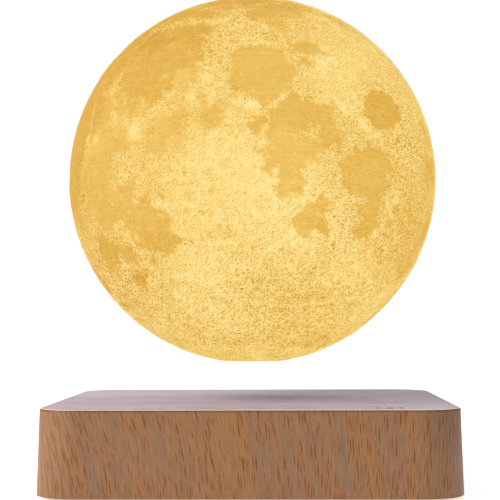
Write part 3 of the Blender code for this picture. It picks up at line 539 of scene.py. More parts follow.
# Rubber moulded in a plain tool: dark grey, dull, with a little dust in its grain
rubber = grained("moulded_rubber", "#29292C", 0.8, 0.6, 0.06, 0.2, Specular_IOR_Level=0.3)
foot = add_rod("foot", FOOT_RADIUS, 0.0, FOOT_HEIGHT, steps=56)
round_off(foot, FOOT_EDGE, 5, lambda a, b: max(a.z, b.z) < 1e-6)
close()
coat(foot, rubber)


def copy_to(piece, name, place, turn=Matrix()):
    """A copy of a finished piece with its own mesh, turned and then moved to its place."""
    other = piece.copy()
    other.data = piece.data.copy()
    other.name = other.data.name = name
    other.data.transform(Matrix.Translation(place) @ turn.to_4x4())
    bpy.context.scene.collection.objects.link(other)
    return other


for number, (x, y) in enumerate(corners_at(FOOT_PLACE), 1):
    rubber_foot = copy_to(foot, f"rubber_foot_{number}", (x, y, 0))
    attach(rubber_foot, "base")
    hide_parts(f"foot_{number}")
bpy.data.objects.remove(foot)


# Cover screws: zinc-plated self-tapping screws with a domed head and a cross recess. They go through
# the cover into the posts in the box's corners.
HEAD_RADIUS = 0.0029
HEAD_HEIGHT = 0.0009
HEAD_SEAT = 0.0031
SHANK_RADIUS = 0.0012
THREAD_PITCH = 0.0008
COVER_SCREW_REACH = 0.0096
RECESS_ARM, RECESS_HALF, RECESS_END = 0.58, 0.1, 0.35  # shares of the head's radius and height


def turn_profile(name, profile, steps):
    """A wall made by turning a line about Z."""
    bpy.ops.object.select_all(action="DESELECT")
    bpy.ops.mesh.primitive_plane_add(size=1)
    wall = open_new(name)
    bpy.ops.mesh.delete(type="VERT")
    shape = bmesh.from_edit_mesh(wall.data)
    points = [shape.verts.new((radius, 0, height)) for radius, height in profile]
    for first, last in zip(points, points[1:]):
        shape.edges.new((first, last))
    bmesh.update_edit_mesh(wall.data)
    bpy.ops.mesh.select_all(action="SELECT")
    bpy.ops.mesh.spin(steps=steps, angle=2 * math.pi, center=(0, 0, 0), axis=(0, 0, 1))
    bpy.ops.mesh.select_all(action="SELECT")
    bpy.ops.mesh.remove_doubles(threshold=1e-6)
    bpy.ops.mesh.normals_make_consistent(inside=False)
    close()
    return wall


def select_where(piece, test):
    """Selects the points of an open piece that pass a test, and all that lies between them."""
    shape = unselected(piece)
    for point in shape.verts:
        point.select = bool(test(point.co))
    shape.select_flush(True)
    bmesh.update_edit_mesh(piece.data)


def add_screw(name, radius, head, shank, pitch, reach):
    """A screw on end: a domed head with a cross recess below level 0, its shank and thread above."""
    profile = []
    for angle in (0, 15, 30, 45, 60, 72, 82, 90):
        up = math.radians(angle)
        profile.append((radius * math.sin(up), -head * math.cos(up) ** 0.6 if angle < 90 else 0))
    core = shank * 0.7
    height = 0
    while height < reach - 2.4 * pitch:
        profile += [(core, height), (core, height + pitch * 0.5), (shank, height + pitch * 0.75)]
        height += pitch
    made = turn_profile(name, profile + [(core, height), (0, reach)], 32)
    for half_x, half_y in ((RECESS_ARM, RECESS_HALF), (RECESS_HALF, RECESS_ARM)):
        slot = add_block("slot", radius * half_x, radius * half_y, -head - 0.001, -head * RECESS_END)
        select_where(slot, lambda point: point.z > -head)
        bpy.ops.transform.resize(value=(0.6, 0.6, 1.0), center_override=(0, 0, 0))
        cut_away(made, slot)
    return made


screw = add_screw("screw", HEAD_RADIUS, HEAD_HEIGHT, SHANK_RADIUS, THREAD_PITCH, COVER_SCREW_REACH)


def plated(name, code, roughness, brush_mm=0.3, stretch=(1, 1, 12)):
    """A plated or brushed metal: fine streaks in its shine and slightly uneven colour."""
    made = new_material(name, code, roughness, Metallic=1.0)
    place = put(made, "TexCoord").outputs["Object"]
    reach = tuple(1000 / (brush_mm * part) for part in stretch)
    moved = put(made, "Mapping", place, Scale=reach)
    streaks = put(made, "TexNoise", moved, 1.0, 3.0)
    gloss = put(made, "MapRange", streaks, 0.3, 0.7, roughness - 0.08, roughness + 0.08)
    shade = put(made, "MapRange", streaks, 0.3, 0.7, 0.88, 1.08)
    colour = put(made, "Mix", 1.0, linear(code), shade, **TINT)
    bump = put(made, "Bump", Height=streaks, Strength=0.15, Distance=0.00005)
    join(made, Base_Color=colour, Roughness=gloss, Normal=bump)
    return made


# Zinc-plated steel: light grey metal with a soft, slightly cloudy shine
zinc_steel = plated("zinc_plated_steel", "#A9ABAF", 0.34, 0.25, (1, 1, 1))
coat(screw, zinc_steel)
for number, (x, y) in enumerate(corners_at(POST_MIDDLE), 1):
    cross_screw = copy_to(screw, f"cross_screw_{number}", (x, y, HEAD_SEAT))
    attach(cross_screw, "base")
    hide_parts(f"cover_screw_{number}")
bpy.data.objects.remove(screw)


# DC socket: a moulded nylon body with a round bore behind the hole in the back wall, a nickelled
# centre pin with a rounded tip and a spring contact along the bore.
JACK_HALF = 0.0045
JACK_FRONT = 0.0590
JACK_FACE = 0.0727
JACK_LOW = 0.0129
JACK_HIGH = 0.0239
JACK_BORE_RADIUS = 0.0032
JACK_BORE_END = 0.0637
MOUTH_EDGE = 0.0004
JACK_EDGE = 0.0003
PIN_RADIUS = 0.00105
PIN_ROOT = 0.0640
PIN_TIP = 0.0722


def lay_back(piece):
    """Turns a piece that was made upright so that its top faces the back, on the socket's axis."""
    piece.data.transform(Matrix.Translation((0, 0, JACK_AXIS_Z)) @ Matrix.Rotation(-math.pi / 2, 4, "X"))


jack = add_block("socket_body", JACK_HALF, (JACK_FACE - JACK_FRONT) / 2, JACK_LOW, JACK_HIGH)
round_off(jack, JACK_EDGE, 3)
close()
jack.data.transform(Matrix.Translation((0, (JACK_FACE + JACK_FRONT) / 2, 0)))
bore = add_rod("bore", JACK_BORE_RADIUS, JACK_BORE_END, JACK_FACE + 0.001, steps=64)
close()
lay_back(bore)
cut_away(jack, bore)
inner, outer = JACK_FACE - MOUTH_EDGE, JACK_FACE + MOUTH_EDGE
mouth_line = [(0, inner), (JACK_BORE_RADIUS, inner), (JACK_BORE_RADIUS + 2 * MOUTH_EDGE, outer), (0, outer)]
mouth = turn_profile("mouth", mouth_line, 64)
lay_back(mouth)
cut_away(jack, mouth)
black_nylon = grained("moulded_black_nylon", "#1A1A1C", 0.42, 0.5, 0.03)
coat(jack, black_nylon)
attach(jack, "base")
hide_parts("dc_jack")

pin_end = [(0, PIN_ROOT), (PIN_RADIUS, PIN_ROOT), (PIN_RADIUS, PIN_TIP - PIN_RADIUS)]
for angle in (20, 40, 60, 75, 90):
    up = math.radians(angle)
    pin_end.append((PIN_RADIUS * math.cos(up) if angle < 90 else 0, PIN_TIP - PIN_RADIUS * (1 - math.sin(up))))
pin = turn_profile("socket_pin", pin_end, 32)
lay_back(pin)
# Nickel on brass: a bright warm white metal
nickel = plated("nickel_plated_brass", "#C9C7C0", 0.2, 0.2, (8, 1, 1))
coat(pin, nickel)
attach(pin, "base")
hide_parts("dc_jack_pin")


# Control board: a glass fibre board in green solder mask with tinned pads. It carries the chips,
# the capacitor and the DC socket. The CAD's shape stays.
TRACK_PITCH = 0.0013


def dress(finish, *nodes):
    """Gives a finish to CAD nodes that keep their shape."""
    for node in nodes:
        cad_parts[node].material_slots[0].material = finish


def etched_board(name, mask, track, edge):
    """A printed board: tracks under solder mask in patches of two directions, tinned pads, bare edges."""
    made = new_material(name, mask, 0.35)
    spot = put(made, "TexCoord")
    place = spot.outputs["Object"]
    patches = put(
        made, "TexVoronoi", place, 90.0, Randomness=0.7, voronoi_dimensions="2D", distance="CHEBYCHEV"
    )
    own = put(made, "SeparateColor", patches.outputs["Color"])
    turned = put(made, "GREATER_THAN", own.outputs["Red"], 0.5)
    axes = put(made, "SeparateXYZ", place)
    across = put(made, "Mix", turned, axes.outputs["X"], axes.outputs["Y"])
    wave = put(made, "MULTIPLY", across, 2 * math.pi / TRACK_PITCH)
    wave = put(made, "SINE", wave)
    line = put(made, "MapRange", wave, 0.2, 0.4)
    busy = put(made, "GREATER_THAN", own.outputs["Green"], 0.3)
    line = put(made, "MULTIPLY", line, busy)
    pads = put(made, "TexVoronoi", place, 390.0, Randomness=0.0, voronoi_dimensions="2D")
    chosen = put(made, "SeparateColor", pads.outputs["Color"]).outputs["Red"]
    chosen = put(made, "GREATER_THAN", chosen, 0.82)
    pad = put(made, "LESS_THAN", pads, 0.24)
    pad = put(made, "MULTIPLY", pad, chosen)
    level = put(made, "SeparateXYZ", spot.outputs["Normal"]).outputs["Z"]
    flat = put(made, "GREATER_THAN", put(made, "ABSOLUTE", level), 0.5)
    pad = put(made, "MULTIPLY", pad, flat)
    colour = put(made, "Mix", line, linear(mask), linear(track), **BLEND)
    colour = put(made, "Mix", pad, colour, linear("#C6C5BE"), **BLEND)
    colour = put(made, "Mix", flat, linear(edge), colour, **BLEND)
    join(made, Base_Color=colour, Metallic=pad)
    raised = put(made, "MAXIMUM", line, pad)
    join(made, Normal=put(made, "Bump", Height=raised, Strength=0.4, Distance=0.00004))
    return made


# Green solder mask is glossy and lets the copper tracks show as lighter lines
green_board = etched_board("green_solder_mask", "#14532F", "#2A7A47", "#A59A6A")
dress(green_board, "control_board", "hall_board")


# Chips: black moulded bodies with a dimple by the first leg, on bent tinned legs that are soldered
# to their board. Two drivers and the microcontroller here, three field sensors on their own board.
BOARD_TOP = 0.0126
HALL_BOARD_TOP = 0.0251
LEG_THICK = 0.00018
LEG_PITCH = 0.00127
LEG_REACH = 0.0009
CHIP_EDGE = 0.00012
DIMPLE_RADIUS = 0.0003
DIMPLE_INSET = 0.0007

# Epoxy moulding compound is a dull dark grey; reflowed tin is bright and a little uneven
epoxy = grained("moulded_epoxy", "#232326", 0.6, 0.2, 0.02)
tinned = plated("tinned_copper", "#BDBDB8", 0.3, 0.3, (1, 1, 1))


def add_chip(name, node, sides, pitch, board_top):
    """A chip in the place of a CAD node, with legs along the sides that face the named axes."""
    low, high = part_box(node)
    middle, half = (low + high) / 2, (high - low) / 2
    reach = min(LEG_REACH, 0.35 * min(half.x, half.y))
    inner = [half[axis] - (reach if "xy"[axis] in sides else 0) for axis in (0, 1)]
    chip = add_block(name, inner[0], inner[1], low.z, high.z)
    round_off(chip, CHIP_EDGE, 2)
    close()
    corner = (DIMPLE_INSET - inner[0], DIMPLE_INSET - inner[1])
    cut_away(chip, add_rod("dimple", DIMPLE_RADIUS, high.z - 0.0001, high.z + 0.001, corner, 24))
    coat(chip, epoxy)
    rise = (low.z + high.z) / 2 - board_top - LEG_THICK
    leg = add_block("leg", reach * 0.25, pitch * 0.17, 0, LEG_THICK)
    select_where(leg, lambda point: point.x < 0)
    bpy.ops.mesh.extrude_region_move(TRANSFORM_OT_translate={"value": (-reach * 0.35, 0, rise)})
    bpy.ops.mesh.extrude_region_move(TRANSFORM_OT_translate={"value": (-reach * 0.35, 0, 0)})
    bpy.ops.mesh.select_all(action="SELECT")
    bpy.ops.mesh.normals_make_consistent(inside=False)
    close()
    coat(leg, tinned)
    legs = []
    for quarter in range(4):
        axis = quarter % 2
        if "xy"[axis] not in sides:
            continue
        count = int(2 * (inner[1 - axis] - 0.0002) / pitch)
        for number in range(count):
            along = (number - (count - 1) / 2) * pitch
            turn = Matrix.Rotation(quarter * math.pi / 2, 4, "Z")
            spot = turn @ Vector((half[axis] - reach * 0.25, along, board_top))
            legs.append(copy_to(leg, "chip_leg", spot, turn))
    bpy.data.objects.remove(leg)
    merge(chip, legs)
    chip.data.transform(Matrix.Translation((middle.x, middle.y, 0)))
    smooth_over(chip)
    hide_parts(node)
    return chip


for name, node, sides, pitch, board_top in (
    ("driver_1", "driver_chip_1", "x", LEG_PITCH, BOARD_TOP),
    ("driver_2", "driver_chip_2", "x", LEG_PITCH, BOARD_TOP),
    ("controller", "microcontroller", "xy", 0.0008, BOARD_TOP),
    ("field_sensor_1", "hall_sensor_1", "y", LEG_PITCH, HALL_BOARD_TOP),
    ("field_sensor_2", "hall_sensor_2", "y", LEG_PITCH, HALL_BOARD_TOP),
    ("field_sensor_3", "hall_sensor_3", "y", LEG_PITCH, HALL_BOARD_TOP),
):
    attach(add_chip(name, node, sides, pitch, board_top), "base")


# Supply capacitor: an aluminium can rolled in above its seal, in a shrunk sleeve that leaves the
# scored top bare. Its outline is in shares of its radius and its height.
CAN_OUTLINE = (
    (0.92, 0.0), (1.0, 0.03), (1.0, 0.13), (0.94, 0.17), (1.0, 0.21), (1.0, 0.97), (0.97, 0.995), (0.92, 1.0),
    (0.84, 0.988), (0.0, 0.988),
)
SCORE_ARM, SCORE_HALF, SCORE_DEPTH = 0.6, 0.03, 0.022

# Shrunk PVC: dark blue with a low sheen and faint ripples. Drawn aluminium: pale with fine scratches.
sleeve = grained("shrunk_pvc_sleeve", "#1D2B48", 0.35, 1.4, 0.05)
bare_can = plated("drawn_aluminium", "#BFC1C4", 0.38, 0.25, (1, 9, 1))


def add_capacitor(name, node, board_top):
    """An upright capacitor in the place of a CAD node."""
    low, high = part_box(node)
    radius, foot, top = (high.x - low.x) / 2, board_top + 0.00002, high.z
    tall = top - foot
    outline = [(0, foot)] + [(radius * out, foot + tall * up) for out, up in CAN_OUTLINE]
    can = turn_profile(name, outline, 48)
    for half_x, half_y in ((SCORE_ARM, SCORE_HALF), (SCORE_HALF, SCORE_ARM)):
        score = add_block("score", radius * half_x, radius * half_y, top - tall * SCORE_DEPTH, top + 0.001)
        cut_away(can, score)
    coat(can, sleeve, bare_can)
    for face in can.data.polygons:
        if face.center.z > top - tall * 0.03 and math.hypot(face.center.x, face.center.y) < radius * 0.86:
            face.material_index = 1
    middle = (low + high) / 2
    can.data.transform(Matrix.Translation((middle.x, middle.y, 0)))
    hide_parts(node)
    return can


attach(add_capacitor("supply_can", "supply_capacitor", BOARD_TOP), "base")


# Magnet tray: a ribbed black moulding on the stand-offs, which holds the ring magnet and the coils.
# The CAD's shape stays. Its four cross screws go down through it and the board into the cover.
TRAY_HEAD_RADIUS = 0.0028
TRAY_HEAD_HEIGHT = 0.0015
TRAY_SCREW_SEAT = 0.0148
TRAY_SCREW_REACH = 0.0088

dress(black_abs, "magnet_tray")
screw = add_screw("screw", TRAY_HEAD_RADIUS, TRAY_HEAD_HEIGHT, SHANK_RADIUS, THREAD_PITCH, TRAY_SCREW_REACH)
coat(screw, zinc_steel)
head_up = Matrix.Rotation(math.pi, 4, "X")
for number, (x, y) in enumerate(corners_at(STANDOFF_PLACE), 1):
    long_screw = copy_to(screw, f"board_screw_{number}", (x, y, TRAY_SCREW_SEAT), head_up)
    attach(long_screw, "base")
    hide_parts(f"tray_screw_{number}")
bpy.data.objects.remove(screw)


# Ring magnet, ferrite ring and coil cores: pressed and sintered ferrite, ground flat, and turned
# soft iron. They are glued into the tray. The CAD's shapes stay.
# Sintered ferrite is a charcoal grey ceramic with a fine open grain
sintered = grained("sintered_ferrite", "#2E2F33", 0.55, 0.25, 0.04, 0.2)
dress(sintered, "ring_magnet", "coil_ferrite")
soft_iron = plated("turned_soft_iron", "#8E8F92", 0.36, 0.2, (1, 1, 8))
dress(soft_iron, "coil_core_1", "coil_core_2", "coil_core_3", "coil_core_4")


# Coils: four steering coils round the cores and the flat transmitting coil on the ferrite ring, all
# wound of enamelled copper wire and bonded. The CAD's shapes stay, and the turns are in the finish.
COIL_CIRCLE = 0.01699


def wound(name, code, circle, pitch):
    """Bonded turns of wire: rings round the coil's axis on its flat faces, level turns on its sides.

    The coil's axis is the middle, or the nearest of four axes on a circle.
    """
    made = new_material(name, code, 0.28, Metallic=1.0)
    spot = put(made, "TexCoord")
    axes = put(made, "SeparateXYZ", spot.outputs["Object"])
    x, y = axes.outputs["X"], axes.outputs["Y"]
    ends = [put(made, "SUBTRACT", put(made, "ABSOLUTE", side), circle) for side in (x, y)]
    first = put(made, "VectorMath", put(made, "CombineXYZ", ends[0], y), operation="LENGTH")
    second = put(made, "VectorMath", put(made, "CombineXYZ", x, ends[1]), operation="LENGTH")
    radial = put(made, "MINIMUM", first, second)
    level = put(made, "SeparateXYZ", spot.outputs["Normal"]).outputs["Z"]
    flat = put(made, "GREATER_THAN", put(made, "ABSOLUTE", level), 0.5)
    across = put(made, "Mix", flat, axes.outputs["Z"], radial)
    turns = put(made, "MULTIPLY", across, 1 / pitch)
    wire = put(made, "PINGPONG", turns, 0.5)
    uneven = put(made, "TexNoise", spot.outputs["Object"], 420.0, 2.0)
    tone = put(made, "MULTIPLY_ADD", wire, 1.1, uneven)
    # Darker towards the grooves between the turns: painted shade
    shade = put(made, "MapRange", tone, 0.4, 1.1, 0.3, 1.15)
    colour = put(made, "Mix", 1.0, linear(code), shade, **TINT)
    join(made, Base_Color=colour, Normal=put(made, "Bump", Height=wire, Strength=0.8, Distance=pitch / 3))
    return made


# Enamelled copper: reddish brown metal under a clear varnish. Between the turns the colour darkens:
# painted shade in the grooves.
steering_wire = wound("steering_winding", "#B4602F", COIL_CIRCLE, 0.0005)
dress(steering_wire, "steering_coil_1", "steering_coil_2", "steering_coil_3", "steering_coil_4")
transmit_wire = wound("transmit_winding", "#B8682F", 0.0, 0.0011)
dress(transmit_wire, "transmit_coil")
lead_wire = plated("enamelled_copper_lead", "#A85A2C", 0.3, 0.2, (1, 1, 6))
dress(lead_wire, "transmit_lead_1", "transmit_lead_2", "touch_lead")


# Touch pad: a disc of copper foil stuck under the box's top, which feels a finger through the wood.
# Rolled copper foil: soft pink metal with rolling lines. The CAD's shape stays.
copper_foil = plated("rolled_copper_foil", "#C87B4E", 0.33, 0.15, (1, 20, 1))
dress(copper_foil, "touch_pad")


# Moon shell: a hollow ball printed in white PLA, its surface a relief map of the moon.
# The wall is thicker in the seas, so they glow darker. It hangs from nothing: only its cap holds it.
MOON_RADIUS = 0.075
MOON_MIDDLE = 0.1224
FRONT_LONGITUDE = 15
MOUTH_RADIUS = 0.034
CAP_RADIUS = 0.0337
FLAT_Z = -0.074
LEDGE_LOW = -0.0650
LEDGE_HIGH = -0.0630
LEDGE_INNER = 0.0295
HOLLOW_RADIUS = 0.0732

# Seas and darker or lighter plains, from the bottom up: latitude, longitude, half height and half
# width in degrees, turn, tone from 0 for the darkest glow to 1 for the brightest, width of the shore
PLAINS = (
    (15, -60, 30, 17, 0, 0.17, 4), (35, -50, 17, 13, 0, 0.17, 4), (20, -41, 13, 7, 10, 0.24, 6),
    (-2, -37, 12, 9, 0, 0.42, 4), (7, -31, 7, 8, 0, 0.46, 4), (24, -23, 8, 13, 0, 0.45, 3),
    (34.5, -19, 15, 15.5, 0, 0.28, 1.0), (43, -27, 5, 8, -10, 0.06, 4),
    (43, -8.5, 3.4, 4.4, -25, 0.16, 1.2), (26, -5, 4, 5, 25, 0.55, 2), (57.5, -18, 3.2, 10, -12, 0.20, 2),
    (59.5, 8, 3.0, 10, 0, 0.30, 3), (57, 28, 4.5, 10, 12, 0.27, 2), (66, 10, 5, 22, 0, 0.12, 5),
    (27.4, 18.3, 9.6, 9.2, 0, 0.44, 0.5), (34.5, 14, 2.4, 4.0, 20, 0.41, 1.2),
    (23, 10.5, 5.5, 1.6, 0, 0.32, 1.2), (36, 35, 3.8, 5, 30, 0.40, 2), (48, 27, 3.5, 2.5, 0, 0.40, 2),
    (13.5, 4, 3.6, 4.4, 0, 0.46, 3.2), (11, -8, 3.8, 5.5, 0, 0.50, 4), (6.5, -11, 3.0, 6.5, 0, 0.52, 4),
    (12.4, 29.5, 6.0, 10.5, 0, 0.39, 0.9), (11, 22, 6, 5, 0, 0.41, 1.2), (4, 29, 6, 11, 0, 0.52, 1.6),
    (9, 38, 5, 5.5, 0, 0.38, 1.2), (-4, 26.5, 4.8, 3.8, 0, 0.52, 1.2), (17.6, 59.2, 6.4, 8.4, 0, 0.28, 0.5),
    (17.8, 63.5, 4.2, 3.2, 0, 0.24, 1.2), (2, 54, 3.6, 7, -32, 0.34, 0.8), (-3, 51, 7, 8, 0, 0.38, 1.0),
    (-11, 53.5, 6.5, 4.5, 0, 0.39, 1.2), (-18, 52, 2.6, 3.2, 0, 0.36, 1.0),
    (-15.3, 34.3, 5.0, 5.2, 0, 0.46, 0.6), (-18.2, 37.2, 2.2, 2.2, 0, 0.32, 0.8),
    (-17, -17, 9.5, 8.2, 0, 0.38, 1.6), (-23.5, -14, 4.2, 7, 0, 0.28, 1.0),
    (-9.5, -25, 4.6, 5, 0, 0.43, 1.8), (-14.5, -33, 4, 5, 30, 0.36, 1.2),
    (-24.5, -39.5, 5.8, 5.6, 0, 0.13, 1.0), (-25.5, -27, 4, 3, 20, 0.27, 1.0),
    (-33, -28.5, 3, 4.6, 10, 0.20, 1.0), (-33, -58, 6, 5, 0, 0.08, 2), (-43, -52, 1.4, 4, -15, 0.12, 1.0),
    (-49.5, -51, 1.0, 5, -8, 0.10, 1.0), (1.5, 87.5, 5, 6, 0, 0.27, 5), (13, 86, 5, 6, 0, 0.41, 5),
    (-17, 90, 5, 6, 0, 0.24, 5), (-29, 87, 6, 6, 0, 0.26, 7), (-42, 96, 9, 8, 0, 0.42, 7),
    (57, 81, 3.5, 3.5, 0, 0.30, 2), (-19.4, -92.8, 5, 5, 0, 0.20, 2), (27.3, 147.9, 4, 5, 0, 0.24, 1.5),
    (-33.7, 163.5, 4, 5, 0, 0.30, 2), (-20.4, 129.1, 3, 3, 0, 0.20, 1.2), (-36.1, -151.8, 6, 6, 0, 0.40, 3),
    (-53, -172, 14, 20, 10, 0.42, 9), (5, -157, 5, 5, 0, 0.48, 4),
)
# Broad lights and shades of the highlands: latitude, longitude, reach in degrees, change of tone
SWELLS = (
    (-7, 12, 24, 0.26), (0, 8, 8, 0.10), (-13, 22, 7, 0.12), (30, 43, 10, 0.22), (22, 44, 6, 0.10),
    (-29, -4, 9, 0.22), (-50, 4, 9, 0.18), (-44, -6, 10, 0.08), (-31, 52, 7, 0.18), (-36, 68, 7, 0.04),
    (12, 77, 8, -0.14), (-13, 38, 9, 0.20), (-10, 64, 5, 0.08), (40, 16, 6, 0.10), (50, -2, 7, 0.08),
    (30, 56, 14, 0.05), (-40, 76, 9, 0.07), (-51, 3, 6, 0.07), (0, 19, 6, 0.14), (60, 62, 10, 0.15),
    (50, -38, 10, -0.30), (-24, -30, 7, -0.18), (-28, -22, 5, -0.10), (-42, 88, 8, 0.16),
    (-41, 24, 11, -0.12), (-60, 55, 9, -0.06), (-16, 78, 17, -0.20), (-5, 66, 9, -0.10),
    (62, 20, 20, -0.14), (60, -25, 14, -0.26), (-42, -47, 14, -0.22), (-22, -55, 13, -0.26),
    (12, -22, 8, 0.06), (-8, -46, 8, -0.34), (0, -47, 7, -0.10), (-30, -42, 13, -0.13),
    (-46, -42, 9, -0.06), (-30, 80, 10, -0.22), (-18, 70, 9, -0.12), (-10, 86, 8, -0.10),
    (1, -15, 9, -0.13), (9, 14, 5, -0.10), (20, -3, 7, -0.11), (-22, 28, 7, 0.20), (-30, 38, 9, 0.12),
    (40, 27, 6, -0.16), (-52, -9, 9, -0.13), (-30, -20, 5, -0.10), (-20, 3, 5, -0.09), (52, 78, 7, -0.12),
    (22, 88, 6, -0.12), (-60, -28, 7, 0.09), (-51, 86, 6, -0.12), (10, 128, 30, 0.18), (0, -128, 32, 0.16),
    (-12, 172, 18, -0.08), (45, 178, 25, 0.10),
)
# Bright young craters and peaks: latitude, longitude, radius in degrees, change of tone
LIGHTS = (
    (9.6, -20.6, 2.0, 0.50), (12.5, -24, 4.5, 0.06), (14.5, 9.1, 1.0, 0.42), (16.3, 16.2, 1.7, 0.42),
    (17.8, 13.5, 1.4, 0.20), (16.3, 23.3, 0.9, 0.24), (-0.4, 32.7, 2.0, 0.22), (-8.6, 61.6, 2.8, 0.34),
    (8.1, -38, 2.6, 0.14), (27, -13, 1.2, 0.34), (20.7, -20.7, 0.7, 0.45), (22.8, -29, 0.9, 0.30),
    (17, -36, 1.6, 0.10), (31.5, 29.6, 1.7, 0.26), (-20.7, -22.3, 1.1, 0.36), (-17.5, 2.5, 2.0, 0.16),
    (-10.8, 31.5, 1.6, 0.30), (7.5, 28, 0.8, 0.14), (35.5, -7, 0.7, 0.22), (-32, -3, 3.4, 0.16),
    (-18.8, 56, 1.4, 0.30), (9, 41.8, 1.3, 0.20), (-43.3, -11.4, 2.6, 0.16), (21, 3, 2.5, 0.16),
    (25, 2, 2.0, 0.14), (17.5, -1, 2.0, 0.10), (-19, 129, 1.0, 0.3), (5.7, -141, 3.0, 0.3),
    (36, 104, 2.6, 0.3), (-22, -172, 2.2, 0.25),
)
# Rays and ridges: from one place to another, half width in degrees, change of tone
RAYS = (
    (18.5, 41.5, 12.5, 50.5, 1.7, 0.34), (12.5, 50.5, 6, 57, 1.9, 0.22), (-42, -12, -19, -26, 0.6, 0.26),
    (-41, -13, -24, -21.5, 0.5, 0.20), (-31.5, 9, -19.8, 28.5, 0.65, 0.42), (-31, 14, -21, 32, 0.6, 0.28),
    (-43, -11, -33, 7, 2.2, 0.12), (-43, -11, -30, 52, 2.2, 0.08), (-22, 50, -31, 54, 1.0, 0.16),
    (33, 4, 19, -3, 1.6, 0.16), (19, -3, 15, -9, 1.2, 0.16), (38, 8, 46, -1, 1.6, 0.10),
    (9.6, -20, 16, -30, 1.2, 0.12), (9.6, -20, 22, -16, 1.0, 0.10), (9.6, -20, 1, -28, 1.2, 0.10),
    (9.6, -20, 5, -8, 1.2, 0.10), (8, -38, 14, -44, 1.1, 0.10), (8, -38, 0, -37, 1.1, 0.12),
    (23, -18, 21, -18, 0.4, 0.08), (17.4, 11.5, 17.0, 18, 0.8, 0.36), (17.0, 18, 19.0, 25, 0.8, 0.34),
    (19.0, 25, 26, 29.5, 1.2, 0.24), (12, -38, -4, -38, 1.2, 0.10), (20, -37, 2, -41, 0.9, 0.08),
    (-27, -44, -38, -24, 0.5, 0.18), (-31, -46, -41, -28, 0.5, 0.18), (-24, -33, -37, -20, 0.5, 0.10),
    (33, -17.5, 20, -16.5, 0.35, 0.07), (36, 104, 20, 92, 2.0, 0.12), (36, 104, 50, 120, 2.0, 0.12),
    (5.7, -141, 20, -150, 2.0, 0.14), (5.7, -141, -12, -130, 2.0, 0.12),
)
# Places with more relief of dark pits, or with less: latitude, longitude, reach in degrees, strength
PITTED = (
    (-16, 46, 9, 0.9), (9, 71, 8, 1.0), (-36, -32, 8, 0.8), (-27, -46, 5, 0.6), (-50, -50, 8, 0.7),
    (44, 6, 8, 0.4), (-45, 10, 16, 0.35), (-4, 8, 15, -0.35), (32, 48, 13, -0.35), (-35, 70, 14, -0.3),
)
# Craters large enough to be told apart: latitude, longitude, radius in degrees
LARGE_CRATERS = (
    (-43.3, -11.4, 1.8), (9.6, -20.1, 1.6), (-58.4, -14.4, 3.6), (51.6, -9.4, 1.7), (-9.2, -1.9, 2.6),
    (-13.4, -2.8, 1.8), (-11.4, 26.4, 1.7), (-13.2, 24, 1.7), (-18, 23.6, 1.6), (-9.3, 45.1, 1.1),
    (-8.9, 61.1, 2.2), (-25.3, 60.4, 2.9), (-16.4, 61.6, 2.4), (-21.5, 33.2, 2.1), (-28.3, 1.2, 2.0),
    (-33.1, 0.7, 2.2), (-41.6, 6.0, 2.0), (-41.2, 14, 3.6), (-29.7, 32.2, 1.5), (-45.4, 40.3, 3.1),
    (-49.8, -36.5, 3.5), (-44.3, -54.9, 3.7), (46.7, 44.4, 1.5), (46.7, 39.1, 1.2), (50.2, 17.4, 1.5),
    (31.8, 29.9, 1.6), (29.7, -4, 1.3), (14.5, -11.3, 1.0), (-5.5, -68.3, 2.9), (-20.4, 129.1, 3.0),
    (-58, -147, 6), (4.5, -128.6, 7), (58, -147, 7), (-57, 132, 6), (5, -157, 8),
)


def place_on_moon(latitude, longitude):
    """The directions of places on the moon's map, with the front longitude facing -Y."""
    up = np.radians(latitude)
    round_axis = np.radians(np.asarray(longitude) - FRONT_LONGITUDE) - math.pi / 2
    return np.stack([np.cos(up) * np.cos(round_axis), np.cos(up) * np.sin(round_axis), np.sin(up)], axis=-1)


def angle_from(ways, here):
    """How far each direction lies from another, in degrees."""
    return np.degrees(np.arccos(np.clip(ways @ here, -1, 1)))


def hump(value):
    """1 at zero, and a soft fall to nothing on both sides."""
    return np.exp(-(value**2))


def smooth(value):
    """0 below zero, 1 above one, and a smooth rise between them."""
    held = np.clip(value, 0.0, 1.0)
    return held * held * (3 - 2 * held)


def clouds(ways, size, octaves, seed, squash=1.0, fade=0.8):
    """Noise over the ball, about -1 to 1. Size is its coarsest grain in degrees; fade softens the finer."""
    reach = 180 / math.pi / size
    shift = Vector((seed, seed * 0.37, seed * 0.71))
    scaled = ways * np.array([reach, reach, reach * squash])
    return np.array([noise.fractal(Vector(way) + shift, fade, 2.0, octaves) for way in scaled.tolist()])


def degrees_from(ways, latitude, longitude):
    """How far each direction lies from a place, in degrees east and in degrees north of it."""
    here = place_on_moon(latitude, longitude)
    east = np.array([-here[1], here[0], 0]) / math.hypot(here[0], here[1])
    north = np.cross(here, east)
    away = angle_from(ways, here)
    x, y = ways @ east, ways @ north
    flat = np.maximum(np.hypot(x, y), 1e-9)
    return away * x / flat, away * y / flat


